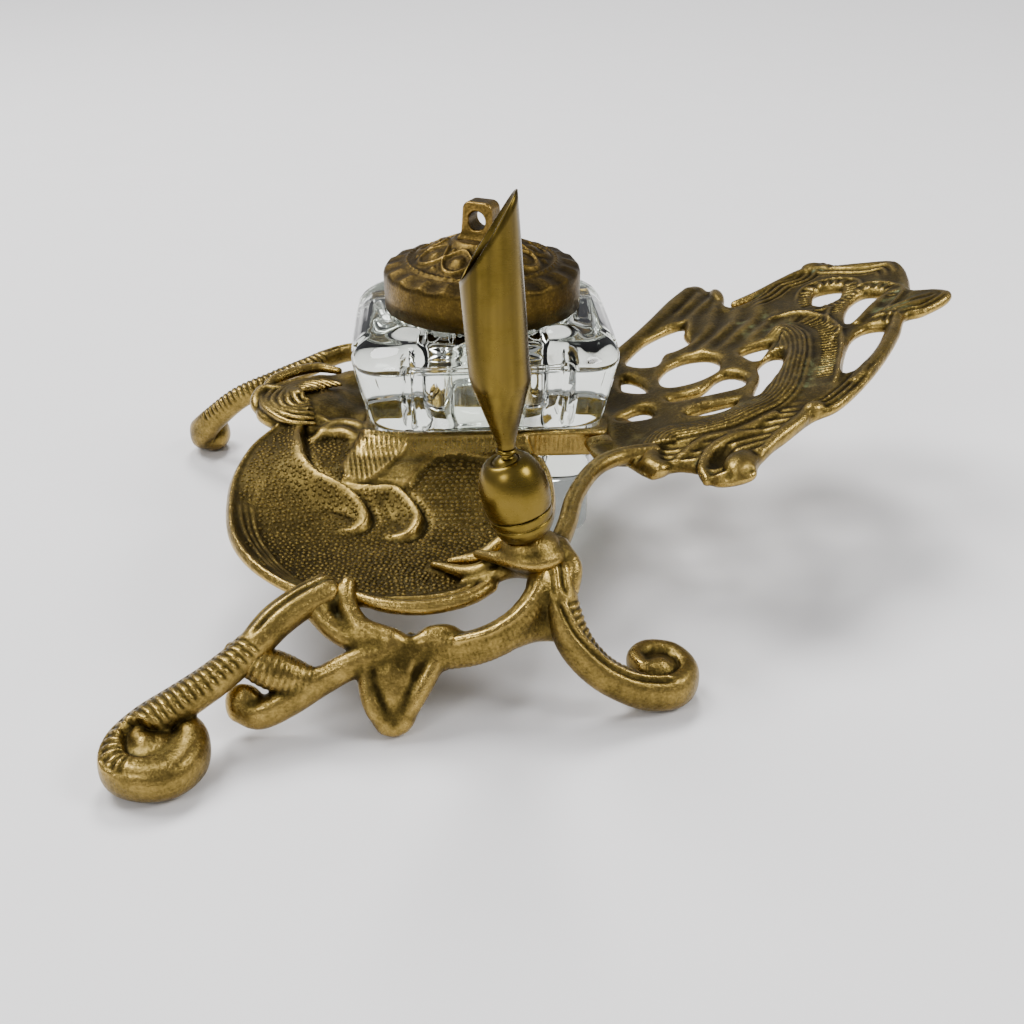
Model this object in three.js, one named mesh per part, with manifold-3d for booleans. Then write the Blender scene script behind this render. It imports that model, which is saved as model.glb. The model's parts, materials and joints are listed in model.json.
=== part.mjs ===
// A cast-brass desk inkstand: a dished pen tray on scroll legs, a square frame that carries a
// drop-in glass inkwell with a brass lid, a pierced leaf-shaped wing, and a funnel pen holder
// on a ball swivel. Millimetres, +Z up. X runs from the tray's side to the wing, Y away from
// the pen holder towards the back. While it is built the inkwell's axis is 2 mm left of X = 0,
// at Y = 0, and the table is Z = 0; the last lines move the origin to the footprint's middle.
import * as THREE from "three";
import { mergeVertices } from "three/addons/utils/BufferGeometryUtils.js";
import Module from "manifold-3d";

const wasm = await Module();
wasm.setup();

// ---- driving dimensions -------------------------------------------------------------------
const GAP = 0.3; // between pieces that touch
const WELL_X = -2; // the inkwell's axis
const TRAY_FLOOR = 25.5;
const PLATE = 3; // thickness of the cast plates
const FRAME = { top: 38, height: 7.5, outer: 33.6, opening: 30.2 };
const GLASS = { foot: 29.4, shoulder: 33.2, belt: 36.8, beltZ: 57, bottom: 4 };
const MOUTH = { outer: 24.4, bore: 18, top: 72, floor: 16 };
const LID = { skirt: 64, inner: 25.2, outer: 27.5, top: 82.6 };
const KNOB = { width: 9.8, depth: 7.2, height: 9.8, hole: 2.6, turn: -0.5 };
const WING = { start: 34, length: 99, rise: 26 };
const HOLDER = { x: 4.1, y: -92, z: 40, lean: -0.26, ball: 4.2, ballUp: 16, capTop: 19.1 };
const FUNNEL = { lean: -0.075, neck: 5.9, shoulder: 22.2, low: 44.2, high: 62.2, wall: 0.6 };
const SIDES = 24;

const brass = (hex, roughness) => new THREE.MeshStandardMaterial({ color: hex, roughness, metalness: 1 });
const CAST_BRASS = brass(0x8c7238, 0.5);
const SPUN_BRASS = brass(0xb08a3a, 0.3);
const STEEL = brass(0x8d8d90, 0.4);
const GLASS_CLEAR = new THREE.MeshStandardMaterial({ color: 0xdfeee6, roughness: 0.05, transparent: true, opacity: 0.35 });

// ---- solids -------------------------------------------------------------------------------
function solid(geometry) {
  const bare = geometry.clone();
  bare.deleteAttribute("normal");
  bare.deleteAttribute("uv");
  const merged = mergeVertices(bare, 1e-4);
  const corners = new Uint32Array(merged.index.array);
  const make = () =>
    new wasm.Manifold(
      new wasm.Mesh({ numProp: 3, vertProperties: merged.attributes.position.array, triVerts: corners }),
    );
  if (make().volume() < 0) {
    for (let i = 0; i < corners.length; i += 3) {
      [corners[i + 1], corners[i + 2]] = [corners[i + 2], corners[i + 1]];
    }
  }
  return make();
}

function geometryOf(body) {
  const mesh = body.getMesh();
  const places = new Float32Array(mesh.numVert * 3);
  for (let i = 0; i < mesh.numVert; i++) {
    places.set(mesh.vertProperties.subarray(i * mesh.numProp, i * mesh.numProp + 3), i * 3);
  }
  const geometry = new THREE.BufferGeometry();
  geometry.setAttribute("position", new THREE.BufferAttribute(places, 3));
  geometry.setIndex(new THREE.BufferAttribute(new Uint32Array(mesh.triVerts), 1));
  return geometry;
}

// A skin over rings of equally many points, closed at each end by a fan to the ring's middle.
function loft(rings) {
  const count = rings[0].length;
  const places = rings.flat().flatMap((p) => [p.x, p.y, p.z]);
  const faces = [];
  for (let j = 0; j + 1 < rings.length; j++) {
    for (let i = 0; i < count; i++) {
      const [a, b] = [j * count + i, j * count + ((i + 1) % count)];
      faces.push(a, b, a + count, b, b + count, a + count);
    }
  }
  for (const [j, order] of [[0, 1], [rings.length - 1, 0]]) {
    const middle = places.length / 3;
    const sum = rings[j].reduce((s, p) => s.clone().add(p), new THREE.Vector3()).divideScalar(count);
    places.push(sum.x, sum.y, sum.z);
    for (let i = 0; i < count; i++) {
      const [a, b] = [j * count + i, j * count + ((i + 1) % count)];
      if (order) faces.push(middle, b, a);
      else faces.push(middle, a, b);
    }
  }
  const geometry = new THREE.BufferGeometry();
  geometry.setAttribute("position", new THREE.Float32BufferAttribute(places, 3));
  geometry.setIndex(faces);
  return solid(geometry);
}

// A bar along a smooth path. Each stop is [x, y, z, half width, half height].
function bar(stops, grow = 0, steps = 4, sides = 8) {
  const path = new THREE.CatmullRomCurve3(stops.map((s) => new THREE.Vector3(s[0], s[1], s[2])));
  const sizes = new THREE.CatmullRomCurve3(stops.map((s) => new THREE.Vector3(s[3], s[4], 0)));
  const total = steps * (stops.length - 1);
  const rings = [];
  for (let j = 0; j <= total; j++) {
    const t = j / total;
    const [at, along, size] = [path.getPoint(t), path.getTangent(t), sizes.getPoint(t)];
    const side = new THREE.Vector3(0, 0, 1).cross(along).normalize();
    const up = along.clone().cross(side).normalize();
    const end = j === 0 ? -grow : j === total ? grow : 0;
    rings.push(
      Array.from({ length: sides }, (_, i) => {
        const angle = (2 * Math.PI * (i + 0.5)) / sides;
        return at
          .clone()
          .addScaledVector(along, end)
          .addScaledVector(side, (size.x + grow) * Math.cos(angle))
          .addScaledVector(up, (size.y + grow) * Math.sin(angle));
      }),
    );
  }
  return loft(rings);
}

// A turned piece: the profile's points are [radius, height] about the Z axis.
function turned(profile, sides = SIDES) {
  const points = profile.map(([r, z]) => new THREE.Vector2(r, z));
  if (profile[0][0] > 0) points.push(points[0].clone());
  return solid(new THREE.LatheGeometry(points, sides).rotateX(Math.PI / 2));
}

function block(width, depth, height, x, y, z) {
  return solid(new THREE.BoxGeometry(width, depth, height).translate(x, y, z));
}

function drum(radius, height, x, y, z, sides = SIDES) {
  const shape = new THREE.CylinderGeometry(radius, radius, height, sides).rotateX(Math.PI / 2);
  return solid(shape.translate(x, y, z));
}

function largest(body) {
  return body.decompose().reduce((best, b) => (b.volume() > best.volume() ? b : best));
}

// The first body with the others cut out of it. What is cut off is dropped.
function carve(body, ...others) {
  return largest(others.reduce((left, other) => left.subtract(other), body));
}

function aboveTable(body) {
  return body.subtract(block(400, 400, 40, 0, 0, -20));
}

// ---- the casting --------------------------------------------------------------------------
function squareRing(half, corner) {
  return Array.from({ length: 4 * 6 }, (_, i) => {
    const quarter = Math.floor(i / 6);
    const angle = (Math.PI / 2) * (quarter + (i % 6) / 5);
    const [sx, sy] = [[1, 1], [-1, 1], [-1, -1], [1, -1]][quarter];
    return new THREE.Vector2(
      sx * (half - corner) + corner * Math.cos(angle),
      sy * (half - corner) + corner * Math.sin(angle),
    );
  });
}

function wellFrame(grow = 0) {
  const shape = new THREE.Shape(squareRing(FRAME.outer + grow, 5));
  shape.holes.push(new THREE.Path(squareRing(FRAME.opening - grow, 4)));
  const depth = FRAME.height + 2 * grow;
  const geometry = new THREE.ExtrudeGeometry(shape, { depth, bevelEnabled: false });
  return solid(geometry.translate(WELL_X, 0, FRAME.top - FRAME.height - grow));
}

// The tray's outline, seen from above and going round from its left end: [x, y, height of rim].
const TRAY_OUTLINE = [
  [-68, -52, 32], [-65, -72, 31], [-58, -87, 30], [-47, -97, 28.5], [-32, -102, 27],
  [-16, -101, 27], [-4, -95, 28.5], [6, -86, 32], [13, -70, 34.5], [14, -52, 35.5],
  [6, -38, 36], [-14, -35, 36], [-36, -34, 36.5], [-43, -22, 36.5], [-54, -16, 36.5],
  [-63, -26, 35], [-67, -38, 33.5],
];
const TRAY_MIDDLE = new THREE.Vector2(-28, -68);

function penTray() {
  const outline = new THREE.CatmullRomCurve3(TRAY_OUTLINE.map((p) => new THREE.Vector3(...p)), true);
  // [share of the way from the middle to the rim, share of the rim's height, drop below that]
  const levels = [
    [0.3, 0, PLATE], [0.6, 0.1, PLATE], [0.86, 0.45, PLATE], [1, 1, 2.2],
    [0.99, 1, 0.2], [0.96, 1, 0], [0.91, 0.9, 0.2], [0.8, 0.45, 0], [0.58, 0.1, 0], [0.3, 0, 0],
  ];
  const rings = levels.map(([share, climb, drop]) =>
    Array.from({ length: 44 }, (_, i) => {
      const p = outline.getPoint(i / 44);
      const flat = new THREE.Vector2(p.x, p.y).sub(TRAY_MIDDLE).multiplyScalar(share).add(TRAY_MIDDLE);
      return new THREE.Vector3(flat.x, flat.y, TRAY_FLOOR + (p.z - TRAY_FLOOR) * climb - drop);
    }),
  );
  return loft(rings);
}

// Curled leaves behind the tray's left end, on a web that runs along the well frame.
const LEAF_WEB = [
  [-37, -27], [-37, 15], [-45, 18], [-54, 14], [-61, 2], [-64, -7], [-62, -17], [-54, -20], [-45, -26],
];
const LEAF_CURLS = [
  [[-57, -20, 35, 2, 2], [-63, -15, 35.5, 2.6, 2.6], [-64, -6, 37.5, 3, 3], [-59, 2, 39.5, 2.4, 2.2]],
  [[-55, -16, 36, 2, 2], [-60, -7, 39, 2.6, 2.4], [-55, 4, 40.5, 2.8, 2.4], [-50, 12, 39.5, 2, 2]],
  [[-46, -18, 36.5, 2, 2], [-51, -8, 38.5, 2.4, 2.2], [-48, 2, 39.5, 2.4, 2], [-43, 6, 38.5, 2, 1.8]],
];

function leafCurl(grow = 0) {
  const shape = new THREE.Shape(LEAF_WEB.map(([x, y]) => new THREE.Vector2(x, y)));
  const geometry = new THREE.ExtrudeGeometry(shape, { depth: PLATE + 1 + 2 * grow, bevelEnabled: false });
  const web = solid(geometry.translate(0, 0, 34 - grow));
  return LEAF_CURLS.reduce((all, stops) => all.add(bar(stops, grow, 3)), web);
}

const wingHeight = (x) => FRAME.top + WING.rise * Math.pow(Math.max(0, (x - WING.start) / WING.length), 1.2);

// The wing's outline, seen from above: near edge, tip, far edge, then back along the frame.
const WING_OUTLINE = [
  [31, -44], [36, -58], [44, -60.5], [51, -71.5], [61, -72.5], [68, -62.5], [81, -51.5], [96, -41.5],
  [113, -18], [119.5, -7.5], [129, -6.5], [134, 1], [129, 8], [129.5, 26], [127.5, 35], [120, 39],
  [112, 50], [103, 49], [93, 43], [80, 35.5], [78.5, 50], [73, 62], [66, 57], [50, 34], [38, 18],
  [31, 7], [31, -24],
];
// Each piercing is an ellipse: [x, y, half length, half width, turn in degrees].
const PIERCINGS = [
  [57.8, -4, 9, 7.6, 25], [61, -19.5, 10, 3.2, 12], [59, -32.8, 6.6, 1.9, 0], [41.5, -5.5, 6, 2.2, -70],
  [39.2, -25.8, 4.4, 2.7, 12], [77, -3, 4.8, 3, 40], [77.4, -17.5, 9.5, 2.6, 66], [104.8, 23, 5.8, 3.6, 60],
  [110.6, 7.5, 10, 3.5, 56], [103, -20, 13, 3.8, 58], [52.5, 18, 12.5, 6.2, 48],
];

function wing() {
  const edge = new THREE.SplineCurve([...WING_OUTLINE, WING_OUTLINE[0]].map(([x, y]) => new THREE.Vector2(x, y)));
  const shape = new THREE.Shape(edge.getPoints(60).slice(0, -1));
  for (const [x, y, long, wide, turn] of PIERCINGS) {
    const ellipse = new THREE.EllipseCurve(x, y, long, wide, 0, 2 * Math.PI, true, (turn * Math.PI) / 180);
    shape.holes.push(new THREE.Path(ellipse.getPoints(14).slice(0, -1)));
  }
  const geometry = new THREE.ExtrudeGeometry(shape, { depth: PLATE, bevelEnabled: false });
  const places = geometry.attributes.position;
  for (let i = 0; i < places.count; i++) {
    places.setZ(i, places.getZ(i) - PLATE + wingHeight(places.getX(i)));
  }
  return solid(geometry);
}

// The legs' stops run from the root down to the foot, a flat-bottomed scroll: [x, y, radius].
const FOOT_HEIGHT = 9;
const LEGS = {
  leg_front_left: {
    stops: [
      [-43, -96, 28.5, 4.4, 3.6], [-53, -100.5, 26, 3.8, 3.6], [-62, -107.5, 20.5, 3.4, 4],
      [-71, -112.5, 15.5, 3.4, 4.2], [-80, -118, 10.6, 3.4, 4.6], [-84.5, -125, 6.6, 3.2, 4.6],
    ],
    foot: [-79, -125.8, 10],
  },
  leg_front_right: {
    stops: [
      [9, -98, 30, 4.8, 4.6], [11.5, -103, 23, 4.2, 4.5], [17, -106.5, 15, 4, 4.5],
      [25, -108, 8.5, 3.8, 4.4], [33, -107, 5.4, 3.2, 4],
    ],
    foot: [35, -100.5, 8.8],
  },
  leg_back_left: {
    stops: [
      [-26, 34, 33.5, 3.6, 3.2], [-36, 43, 33.5, 3.2, 3], [-46, 42.5, 32.5, 3, 3],
      [-57, 35, 30.5, 3, 3], [-68, 32, 27, 3.2, 3.4], [-80, 34, 21.5, 3.2, 3.8],
      [-89, 37.5, 13, 3.4, 4.2], [-92.5, 41, 7, 3.2, 4.4],
    ],
    foot: [-90, 42.5, 7.8],
  },
  leg_back_right: {
    stops: [
      [26, 34, 33.5, 3.6, 3.2], [34, 42, 34, 3.4, 3.2], [39, 50, 28, 3.2, 3.8],
      [38, 58, 17, 3.4, 4.4], [33, 62, 8.5, 3.4, 5],
    ],
    foot: [28, 60, 7.8],
  },
};

function leg({ stops, foot }, grow = 0) {
  const [x, y, radius] = foot;
  const scroll = drum(radius + grow, FOOT_HEIGHT + grow, x, y, (FOOT_HEIGHT + grow) / 2 - 0.5, 16);
  return aboveTable(bar(stops, grow, 3).add(scroll));
}

const APRON_BARS = [
  // the strut from the front left leg, the shell and the bar to the pen holder
  [
    [-38, -99, 29, 3.2, 4], [-34, -105, 24, 3, 4.4], [-25, -108, 21, 3.6, 5.6],
    [-12, -108.5, 20.5, 2.6, 4.4], [0, -106, 24, 2.6, 4], [7, -103, 26, 2.8, 4.2],
  ],
  // the pendant under the shell
  [[-25, -107, 19, 6, 3.4], [-26.5, -110, 11, 5.2, 3.4], [-28, -112, 4, 3.8, 2.6]],
  // the scroll that curls back up towards the leg
  [
    [-30, -109, 19, 3, 3.2], [-38, -112.5, 14, 2.8, 3.2], [-46, -113, 10, 2.8, 3.2],
    [-54, -113, 7, 3, 3.2], [-61, -110, 8, 2.8, 3], [-60.5, -107, 12, 2.6, 2.8],
  ],
  // the lobe that joins the scroll to the leg
  [[-62, -105.5, 19.5, 2.6, 2.6], [-56, -105, 16.5, 3.6, 3.8], [-50, -107, 15.5, 3.4, 3.6], [-46.5, -107.5, 15.5, 2, 2]],
];

function apron(grow = 0) {
  return APRON_BARS.map((stops) => bar(stops, grow, 3)).reduce((all, piece) => all.add(piece));
}

const NEAR_STRUT = [
  [8, -84, 35, 2.8, 2.6], [14, -68, 37, 2.4, 2.6], [24, -54, 38, 2.4, 2.6], [40, -50, 38, 2.6, 2.6],
];

function strut(grow = 0) {
  return bar(NEAR_STRUT, grow);
}

// ---- the inkwell and its lid --------------------------------------------------------------
// A rounded square, or with power 2 a circle, as a ring at one height. A groove each side of
// every corner leaves the corner standing proud as a pillar.
function ring(half, power, groove, z, count) {
  return Array.from({ length: count }, (_, i) => {
    const angle = (2 * Math.PI * i) / count;
    const [c, s] = [Math.cos(angle), Math.sin(angle)];
    const fromCorner = Math.abs((angle % (Math.PI / 2)) - Math.PI / 4);
    const cut = Math.abs(fromCorner - 0.29) < 0.05 ? groove : 0;
    const radius = half / Math.pow(Math.abs(c) ** power + Math.abs(s) ** power, 1 / power) - cut;
    return new THREE.Vector3(WELL_X + radius * c, radius * s, z);
  });
}

function glassWell() {
  const seat = FRAME.top + GAP;
  const { foot, shoulder, belt, beltZ, bottom } = GLASS;
  const { outer, bore, top, floor } = MOUTH;
  const sections = [
    [foot - 1, 7, 0, bottom], [foot, 7, 0, bottom + 1], [foot, 7, 0, seat],
    [shoulder, 6, 0.4, seat + 0.01], [belt, 6, 1.4, beltZ], [34.5, 5, 1, 61.6],
    [29.5, 3.4, 0, LID.skirt - GAP], [outer, 2, 0, LID.skirt - GAP + 0.1], [outer, 2, 0, top],
    [bore, 2, 0, top], [bore, 2, 0, floor + 3], [bore - 4, 2, 0, floor],
  ];
  return loft(sections.map(([half, power, groove, z]) => ring(half, power, groove, z, 64)));
}

function lidCap() {
  const under = MOUTH.top + GAP;
  const profile = [
    [0, under], [LID.inner, under], [LID.inner, LID.skirt], [LID.outer, LID.skirt],
    [LID.outer, 73.6], [26, 75], [21, 76], [13, 79.2], [6.6, LID.top], [0, LID.top],
  ];
  return turned(profile, 36).translate([WELL_X, 0, 0]);
}

function lidKnob() {
  const [w, h] = [KNOB.width / 2, KNOB.height];
  const shape = new THREE.Shape([
    [-w, 0], [w, 0], [w * 0.9, h * 0.8], [w * 0.6, h], [-w * 0.6, h], [-w * 0.9, h * 0.8],
  ].map(([x, y]) => new THREE.Vector2(x, y)));
  const hole = new THREE.EllipseCurve(0, h * 0.5, KNOB.hole, KNOB.hole, 0, 2 * Math.PI, true);
  shape.holes.push(new THREE.Path(hole.getPoints(16).slice(0, -1)));
  const geometry = new THREE.ExtrudeGeometry(shape, { depth: KNOB.depth, bevelEnabled: false });
  geometry.translate(0, 0, -KNOB.depth / 2).rotateX(Math.PI / 2);
  return solid(geometry);
}

// ---- the pen holder -----------------------------------------------------------------------
// Heights are from the holder's base, along the axis of its bell.
const BORE = 2.2;
const SEAT_Z = 11.2;

function penBoss(grow = 0) {
  return turned([
    [BORE - grow, -6 - grow], [6 + grow, -6 - grow], [7 + grow, -3], [6.6 + grow, -GAP + grow],
    [BORE - grow, -GAP + grow],
  ]);
}

function socketBase() {
  return turned([
    [BORE, 0], [5.4, 0], [6.4, 1.2], [7, 3.7], [6.7, 4], [7.1, 4.3], [7.3, 6.2],
    [6.2, 6.2], [6.2, 9.4], [5.4, 9.4], [5.4, 3], [BORE, 3],
  ]);
}

function socketCap() {
  const up = HOLDER.ballUp;
  const inside = HOLDER.ball + GAP;
  const seat = [0.4, 1.9, HOLDER.capTop - up].map((h) => [Math.sqrt(inside * inside - h * h), up + h]);
  return turned([
    [6.5, 6.5], [7.4, 6.5], [7.8, 10], [7.7, 13.5], [7.1, 15.8], [5.9, 18.1], [4.4, HOLDER.capTop],
    ...seat.reverse(), [6.5, 12.6],
  ]);
}

function ballSeat() {
  const inside = HOLDER.ball + GAP;
  const cup = [2.2, 3, 3.7].map((r) => [r, HOLDER.ballUp - Math.sqrt(inside * inside - r * r)]);
  return turned([[2, 9.9], [5, 9.9], [5, SEAT_Z + 2.6], ...cup.reverse(), [2, SEAT_Z]]);
}

class Helix extends THREE.Curve {
  getPoint(t, target = new THREE.Vector3()) {
    const angle = 2 * Math.PI * 3.5 * t;
    return target.set(3.4 * Math.cos(angle), 3.4 * Math.sin(angle), 3.8 + 5.2 * t);
  }
}

function seatSpring() {
  const wire = new THREE.Shape(new THREE.EllipseCurve(0, 0, 0.45, 0.45).getPoints(6).slice(0, -1));
  return solid(new THREE.ExtrudeGeometry(wire, { steps: 56, extrudePath: new Helix() }));
}

function mountScrew() {
  return turned([
    [0, 2.4], [1.9, 2.4], [1.9, -7.4], [3.8, -7.4], [3.4, -9.2], [0, -9.2],
  ], 16).subtract(block(8, 0.9, 1.6, 0, 0, -9.2));
}

function screwWasher() {
  return turned([[BORE, -7.1], [5, -7.1], [5, -6.3], [BORE, -6.3]], 20);
}

// Heights are now from the ball's middle, along the funnel's axis.
function ballStem() {
  const arc = [];
  for (let a = -90; a <= 72; a += 18) {
    const angle = (a * Math.PI) / 180;
    arc.push([HOLDER.ball * Math.cos(angle), HOLDER.ball * Math.sin(angle)]);
  }
  arc[0][0] = 0;
  return turned([...arc, [1.3, 4.1], [1.3, FUNNEL.neck + 2.2], [0, FUNNEL.neck + 2.2]], 20);
}

function funnelFerrule() {
  return turned([[1.6, 4.8], [2.2, 4.8], [2.5, 5.3], [2.2, 5.8], [1.6, 5.8]], 20);
}

function penFunnel() {
  const { neck, shoulder, low, high, wall } = FUNNEL;
  const [narrow, middle, wide] = [2, 6.6, 6.7];
  const tube = turned([
    [1.6, neck], [narrow, neck], [middle, shoulder], [wide, high + 2], [wide - wall, high + 2],
    [middle - wall, shoulder], [narrow + 0.1, neck + 2.2], [1.6, neck + 2.2],
  ]);
  const slope = Math.atan2(high - low, 2 * wide);
  const cutter = new THREE.BoxGeometry(120, 60, 60).translate(0, 0, 30).rotateY(-slope);
  return tube.subtract(solid(cutter.rotateZ(-0.1).translate(0, 0, (low + high) / 2)));
}

// ---- assembly -----------------------------------------------------------------------------
function add(parent, name, body, material) {
  const mesh = new THREE.Mesh(geometryOf(body), material);
  mesh.name = name;
  parent.add(mesh);
  return mesh;
}

const inkstand = new THREE.Group();

const holder = new THREE.Group();
holder.position.set(HOLDER.x, HOLDER.y, HOLDER.z);
holder.rotation.y = HOLDER.lean;
inkstand.add(holder);
holder.updateMatrixWorld(true);
const bossInPlace = (grow) => solid(geometryOf(penBoss(grow)).applyMatrix4(holder.matrixWorld));
const screwRoom = solid(new THREE.CylinderGeometry(5.4, 5.4, 12, 16).rotateX(Math.PI / 2)
  .translate(0, 0, -12.2).applyMatrix4(holder.matrixWorld));

const legs = (grow) => Object.values(LEGS).map((shape) => leg(shape, grow));
add(inkstand, "well_frame", wellFrame(), CAST_BRASS);
add(inkstand, "pen_boss", bossInPlace(0), CAST_BRASS);
for (const [name, shape] of Object.entries(LEGS)) {
  add(inkstand, name, carve(leg(shape), wellFrame(GAP), bossInPlace(GAP), screwRoom), CAST_BRASS);
}
add(inkstand, "front_apron", carve(apron(), ...legs(GAP), bossInPlace(GAP), screwRoom), CAST_BRASS);
add(inkstand, "near_strut", carve(strut(), wellFrame(GAP), bossInPlace(GAP), ...legs(GAP)), CAST_BRASS);
add(inkstand, "leaf_curl", carve(leafCurl(), wellFrame(GAP)), CAST_BRASS);
const trayNeighbours = [wellFrame(GAP), bossInPlace(GAP), screwRoom, leafCurl(GAP), ...legs(GAP)];
add(inkstand, "pen_tray", carve(penTray(), ...trayNeighbours, apron(GAP), strut(GAP)), CAST_BRASS);
add(inkstand, "leaf_wing", carve(wing(), wellFrame(GAP), strut(GAP), ...legs(GAP)), CAST_BRASS);

add(inkstand, "glass_well", glassWell(), GLASS_CLEAR);
add(inkstand, "lid_cap", lidCap(), CAST_BRASS);
const knob = add(inkstand, "lid_knob", lidKnob(), CAST_BRASS);
knob.position.set(WELL_X, 0, LID.top + GAP);
knob.rotation.z = KNOB.turn;

add(holder, "socket_base", socketBase(), SPUN_BRASS);
add(holder, "socket_cap", socketCap(), SPUN_BRASS);
add(holder, "ball_seat", ballSeat(), STEEL);
add(holder, "seat_spring", seatSpring(), STEEL);
add(holder, "mount_screw", mountScrew(), STEEL);
add(holder, "screw_washer", screwWasher(), STEEL);

const swivel = new THREE.Group();
swivel.position.z = HOLDER.ballUp;
swivel.rotation.y = FUNNEL.lean - HOLDER.lean;
holder.add(swivel);
add(swivel, "swivel_ball", ballStem(), SPUN_BRASS);
add(swivel, "funnel_ferrule", funnelFerrule(), SPUN_BRASS);
add(swivel, "pen_funnel", penFunnel(), SPUN_BRASS);

// The origin goes to the middle of the footprint, on the table.
const extent = new THREE.Box3().setFromObject(inkstand);
const middle = extent.getCenter(new THREE.Vector3());
inkstand.position.set(-middle.x, -middle.y, -extent.min.z);

export default inkstand;
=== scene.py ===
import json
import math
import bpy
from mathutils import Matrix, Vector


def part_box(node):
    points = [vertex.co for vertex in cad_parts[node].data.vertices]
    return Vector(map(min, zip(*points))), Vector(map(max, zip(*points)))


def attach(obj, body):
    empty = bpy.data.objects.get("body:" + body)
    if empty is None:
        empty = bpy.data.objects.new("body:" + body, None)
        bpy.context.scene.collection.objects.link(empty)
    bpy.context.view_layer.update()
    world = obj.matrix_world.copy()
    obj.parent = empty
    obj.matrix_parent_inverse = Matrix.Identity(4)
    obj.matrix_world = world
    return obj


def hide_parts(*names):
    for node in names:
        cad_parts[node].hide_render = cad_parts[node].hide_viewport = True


bl_info = {
    "name": "Brass inkstand",
    "version": (1, 0, 0),
    "blender": (4, 5, 0),
    "location": "3D View > Sidebar > Inkstand",
    "description": "Builds a cast-brass desk inkstand around its packed frame",
    "category": "Object",
}

import bpy
import numpy as np
from mathutils import Matrix, Vector

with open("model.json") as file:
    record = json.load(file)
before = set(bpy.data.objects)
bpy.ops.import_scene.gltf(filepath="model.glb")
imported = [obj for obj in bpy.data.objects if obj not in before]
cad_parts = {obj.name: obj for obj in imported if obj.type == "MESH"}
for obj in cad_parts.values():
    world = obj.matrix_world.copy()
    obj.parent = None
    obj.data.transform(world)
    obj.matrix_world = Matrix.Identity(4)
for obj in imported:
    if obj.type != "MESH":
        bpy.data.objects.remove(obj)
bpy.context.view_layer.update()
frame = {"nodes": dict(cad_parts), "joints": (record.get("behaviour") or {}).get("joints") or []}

# ---- the bench: millimetres, as the casting was drawn ---------------------------------------
# The inkwell's axis stands 2 mm left of X = 0 at Y = 0, and the table is Z = 0.
WELL_X = -2.0
WELL_LOW, WELL_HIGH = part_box("glass_well")
SHIFT = np.array([WELL_X - 500 * (WELL_LOW.x + WELL_HIGH.x), -500 * (WELL_LOW.y + WELL_HIGH.y), 0.0])
MM = 0.001
FAR = 8.0  # what a casting's field holds where there is no metal near
UP = np.array([0.0, 0.0, 1.0])
EVERYWHERE = (slice(None),) * 3
FLUTE = 1.3  # from one fine flute to the next


def in_frame(points):
    """Bench millimetres to the frame's metres."""
    return (np.asarray(points, float) - SHIFT) * MM


def joint_of(name):
    return next(joint for joint in frame["joints"] if joint["name"] == name)


# ---- paths and plan shapes ------------------------------------------------------------------
def spline(keys, steps, closed=False):
    """A smooth curve through rows of numbers."""
    keys = np.asarray(keys, float)
    if closed:
        padded = np.vstack([keys[-1:], keys, keys[:2]])
    else:
        padded = np.vstack([2 * keys[0] - keys[1], keys, 2 * keys[-1] - keys[-2]])
    t = np.linspace(0, 1, steps, endpoint=False)[:, None]
    rows = []
    for a, b, c, d in zip(padded, padded[1:], padded[2:], padded[3:]):
        cubic = (3 * b - 3 * c + d - a) * t**3
        rows.append(0.5 * (2 * b + (c - a) * t + (2 * a - 5 * b + 4 * c - d) * t**2 + cubic))
    return np.vstack(rows if closed else rows + [keys[-1:]])


class Rail:
    """A path through stops of x, y, z, half width and half height, with a frame along it."""

    def __init__(self, stops, spacing):
        dense = spline(stops, 16)
        run = lengths_along(dense[:, :3])
        self.length = run[-1]
        self.arc = np.linspace(0, self.length, max(4, int(self.length / spacing)))
        table = np.stack([np.interp(self.arc, run, column) for column in dense.T], 1)
        self.at, self.wide, self.high = table[:, :3], table[:, 3], table[:, 4]
        self.along = unit(np.gradient(self.at, axis=0))
        self.side = unit(np.cross(UP, self.along))
        self.up = np.cross(self.along, self.side)


def unit(rows):
    return rows / np.maximum(np.linalg.norm(rows, axis=1, keepdims=True), 1e-9)


def lengths_along(points):
    return np.r_[0, np.cumsum(np.linalg.norm(np.diff(points, axis=0), axis=1))]


def beside(line, x, y):
    """Distance to a plan line, positive on the left of its travel, and how far along it."""
    nearest, side, arc = np.full(x.shape, 1e6), np.ones(x.shape), np.zeros(x.shape)
    run = 0.0
    for (ax, ay), (bx, by) in zip(line, line[1:]):
        dx, dy = bx - ax, by - ay
        length = math.hypot(dx, dy) or 1e-9
        t = np.clip(((x - ax) * dx + (y - ay) * dy) / length**2, 0, 1)
        gx, gy = x - ax - t * dx, y - ay - t * dy
        gap = np.hypot(gx, gy)
        better = gap < nearest
        nearest = np.where(better, gap, nearest)
        side = np.where(better, dx * gy - dy * gx, side)
        arc = np.where(better, run + t * length, arc)
        run += length
    return np.copysign(nearest, side), arc


def outside(outline, x, y):
    """Distance to a closed plan outline, negative inside it, and how far round it."""
    ring = np.vstack([outline, outline[:1]])
    gap, arc = beside(ring, x, y)
    crossings = np.zeros(x.shape, bool)
    for (ax, ay), (bx, by) in zip(ring, ring[1:]):
        if ay != by:
            spans = (ay > y) != (by > y)
            crossings ^= spans & (x < ax + (y - ay) * (bx - ax) / (by - ay))
    return np.where(crossings, -np.abs(gap), np.abs(gap)), arc


def bell(value, width):
    return np.exp(-((value / width) ** 2))


def step(value, low, high):
    t = np.clip((value - low) / (high - low), 0, 1)
    return t * t * (3 - 2 * t)


def fall(value, low, high):
    return 1 - step(value, low, high)


def wave(value, pitch):
    return np.cos(2 * math.pi * value / pitch)


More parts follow.
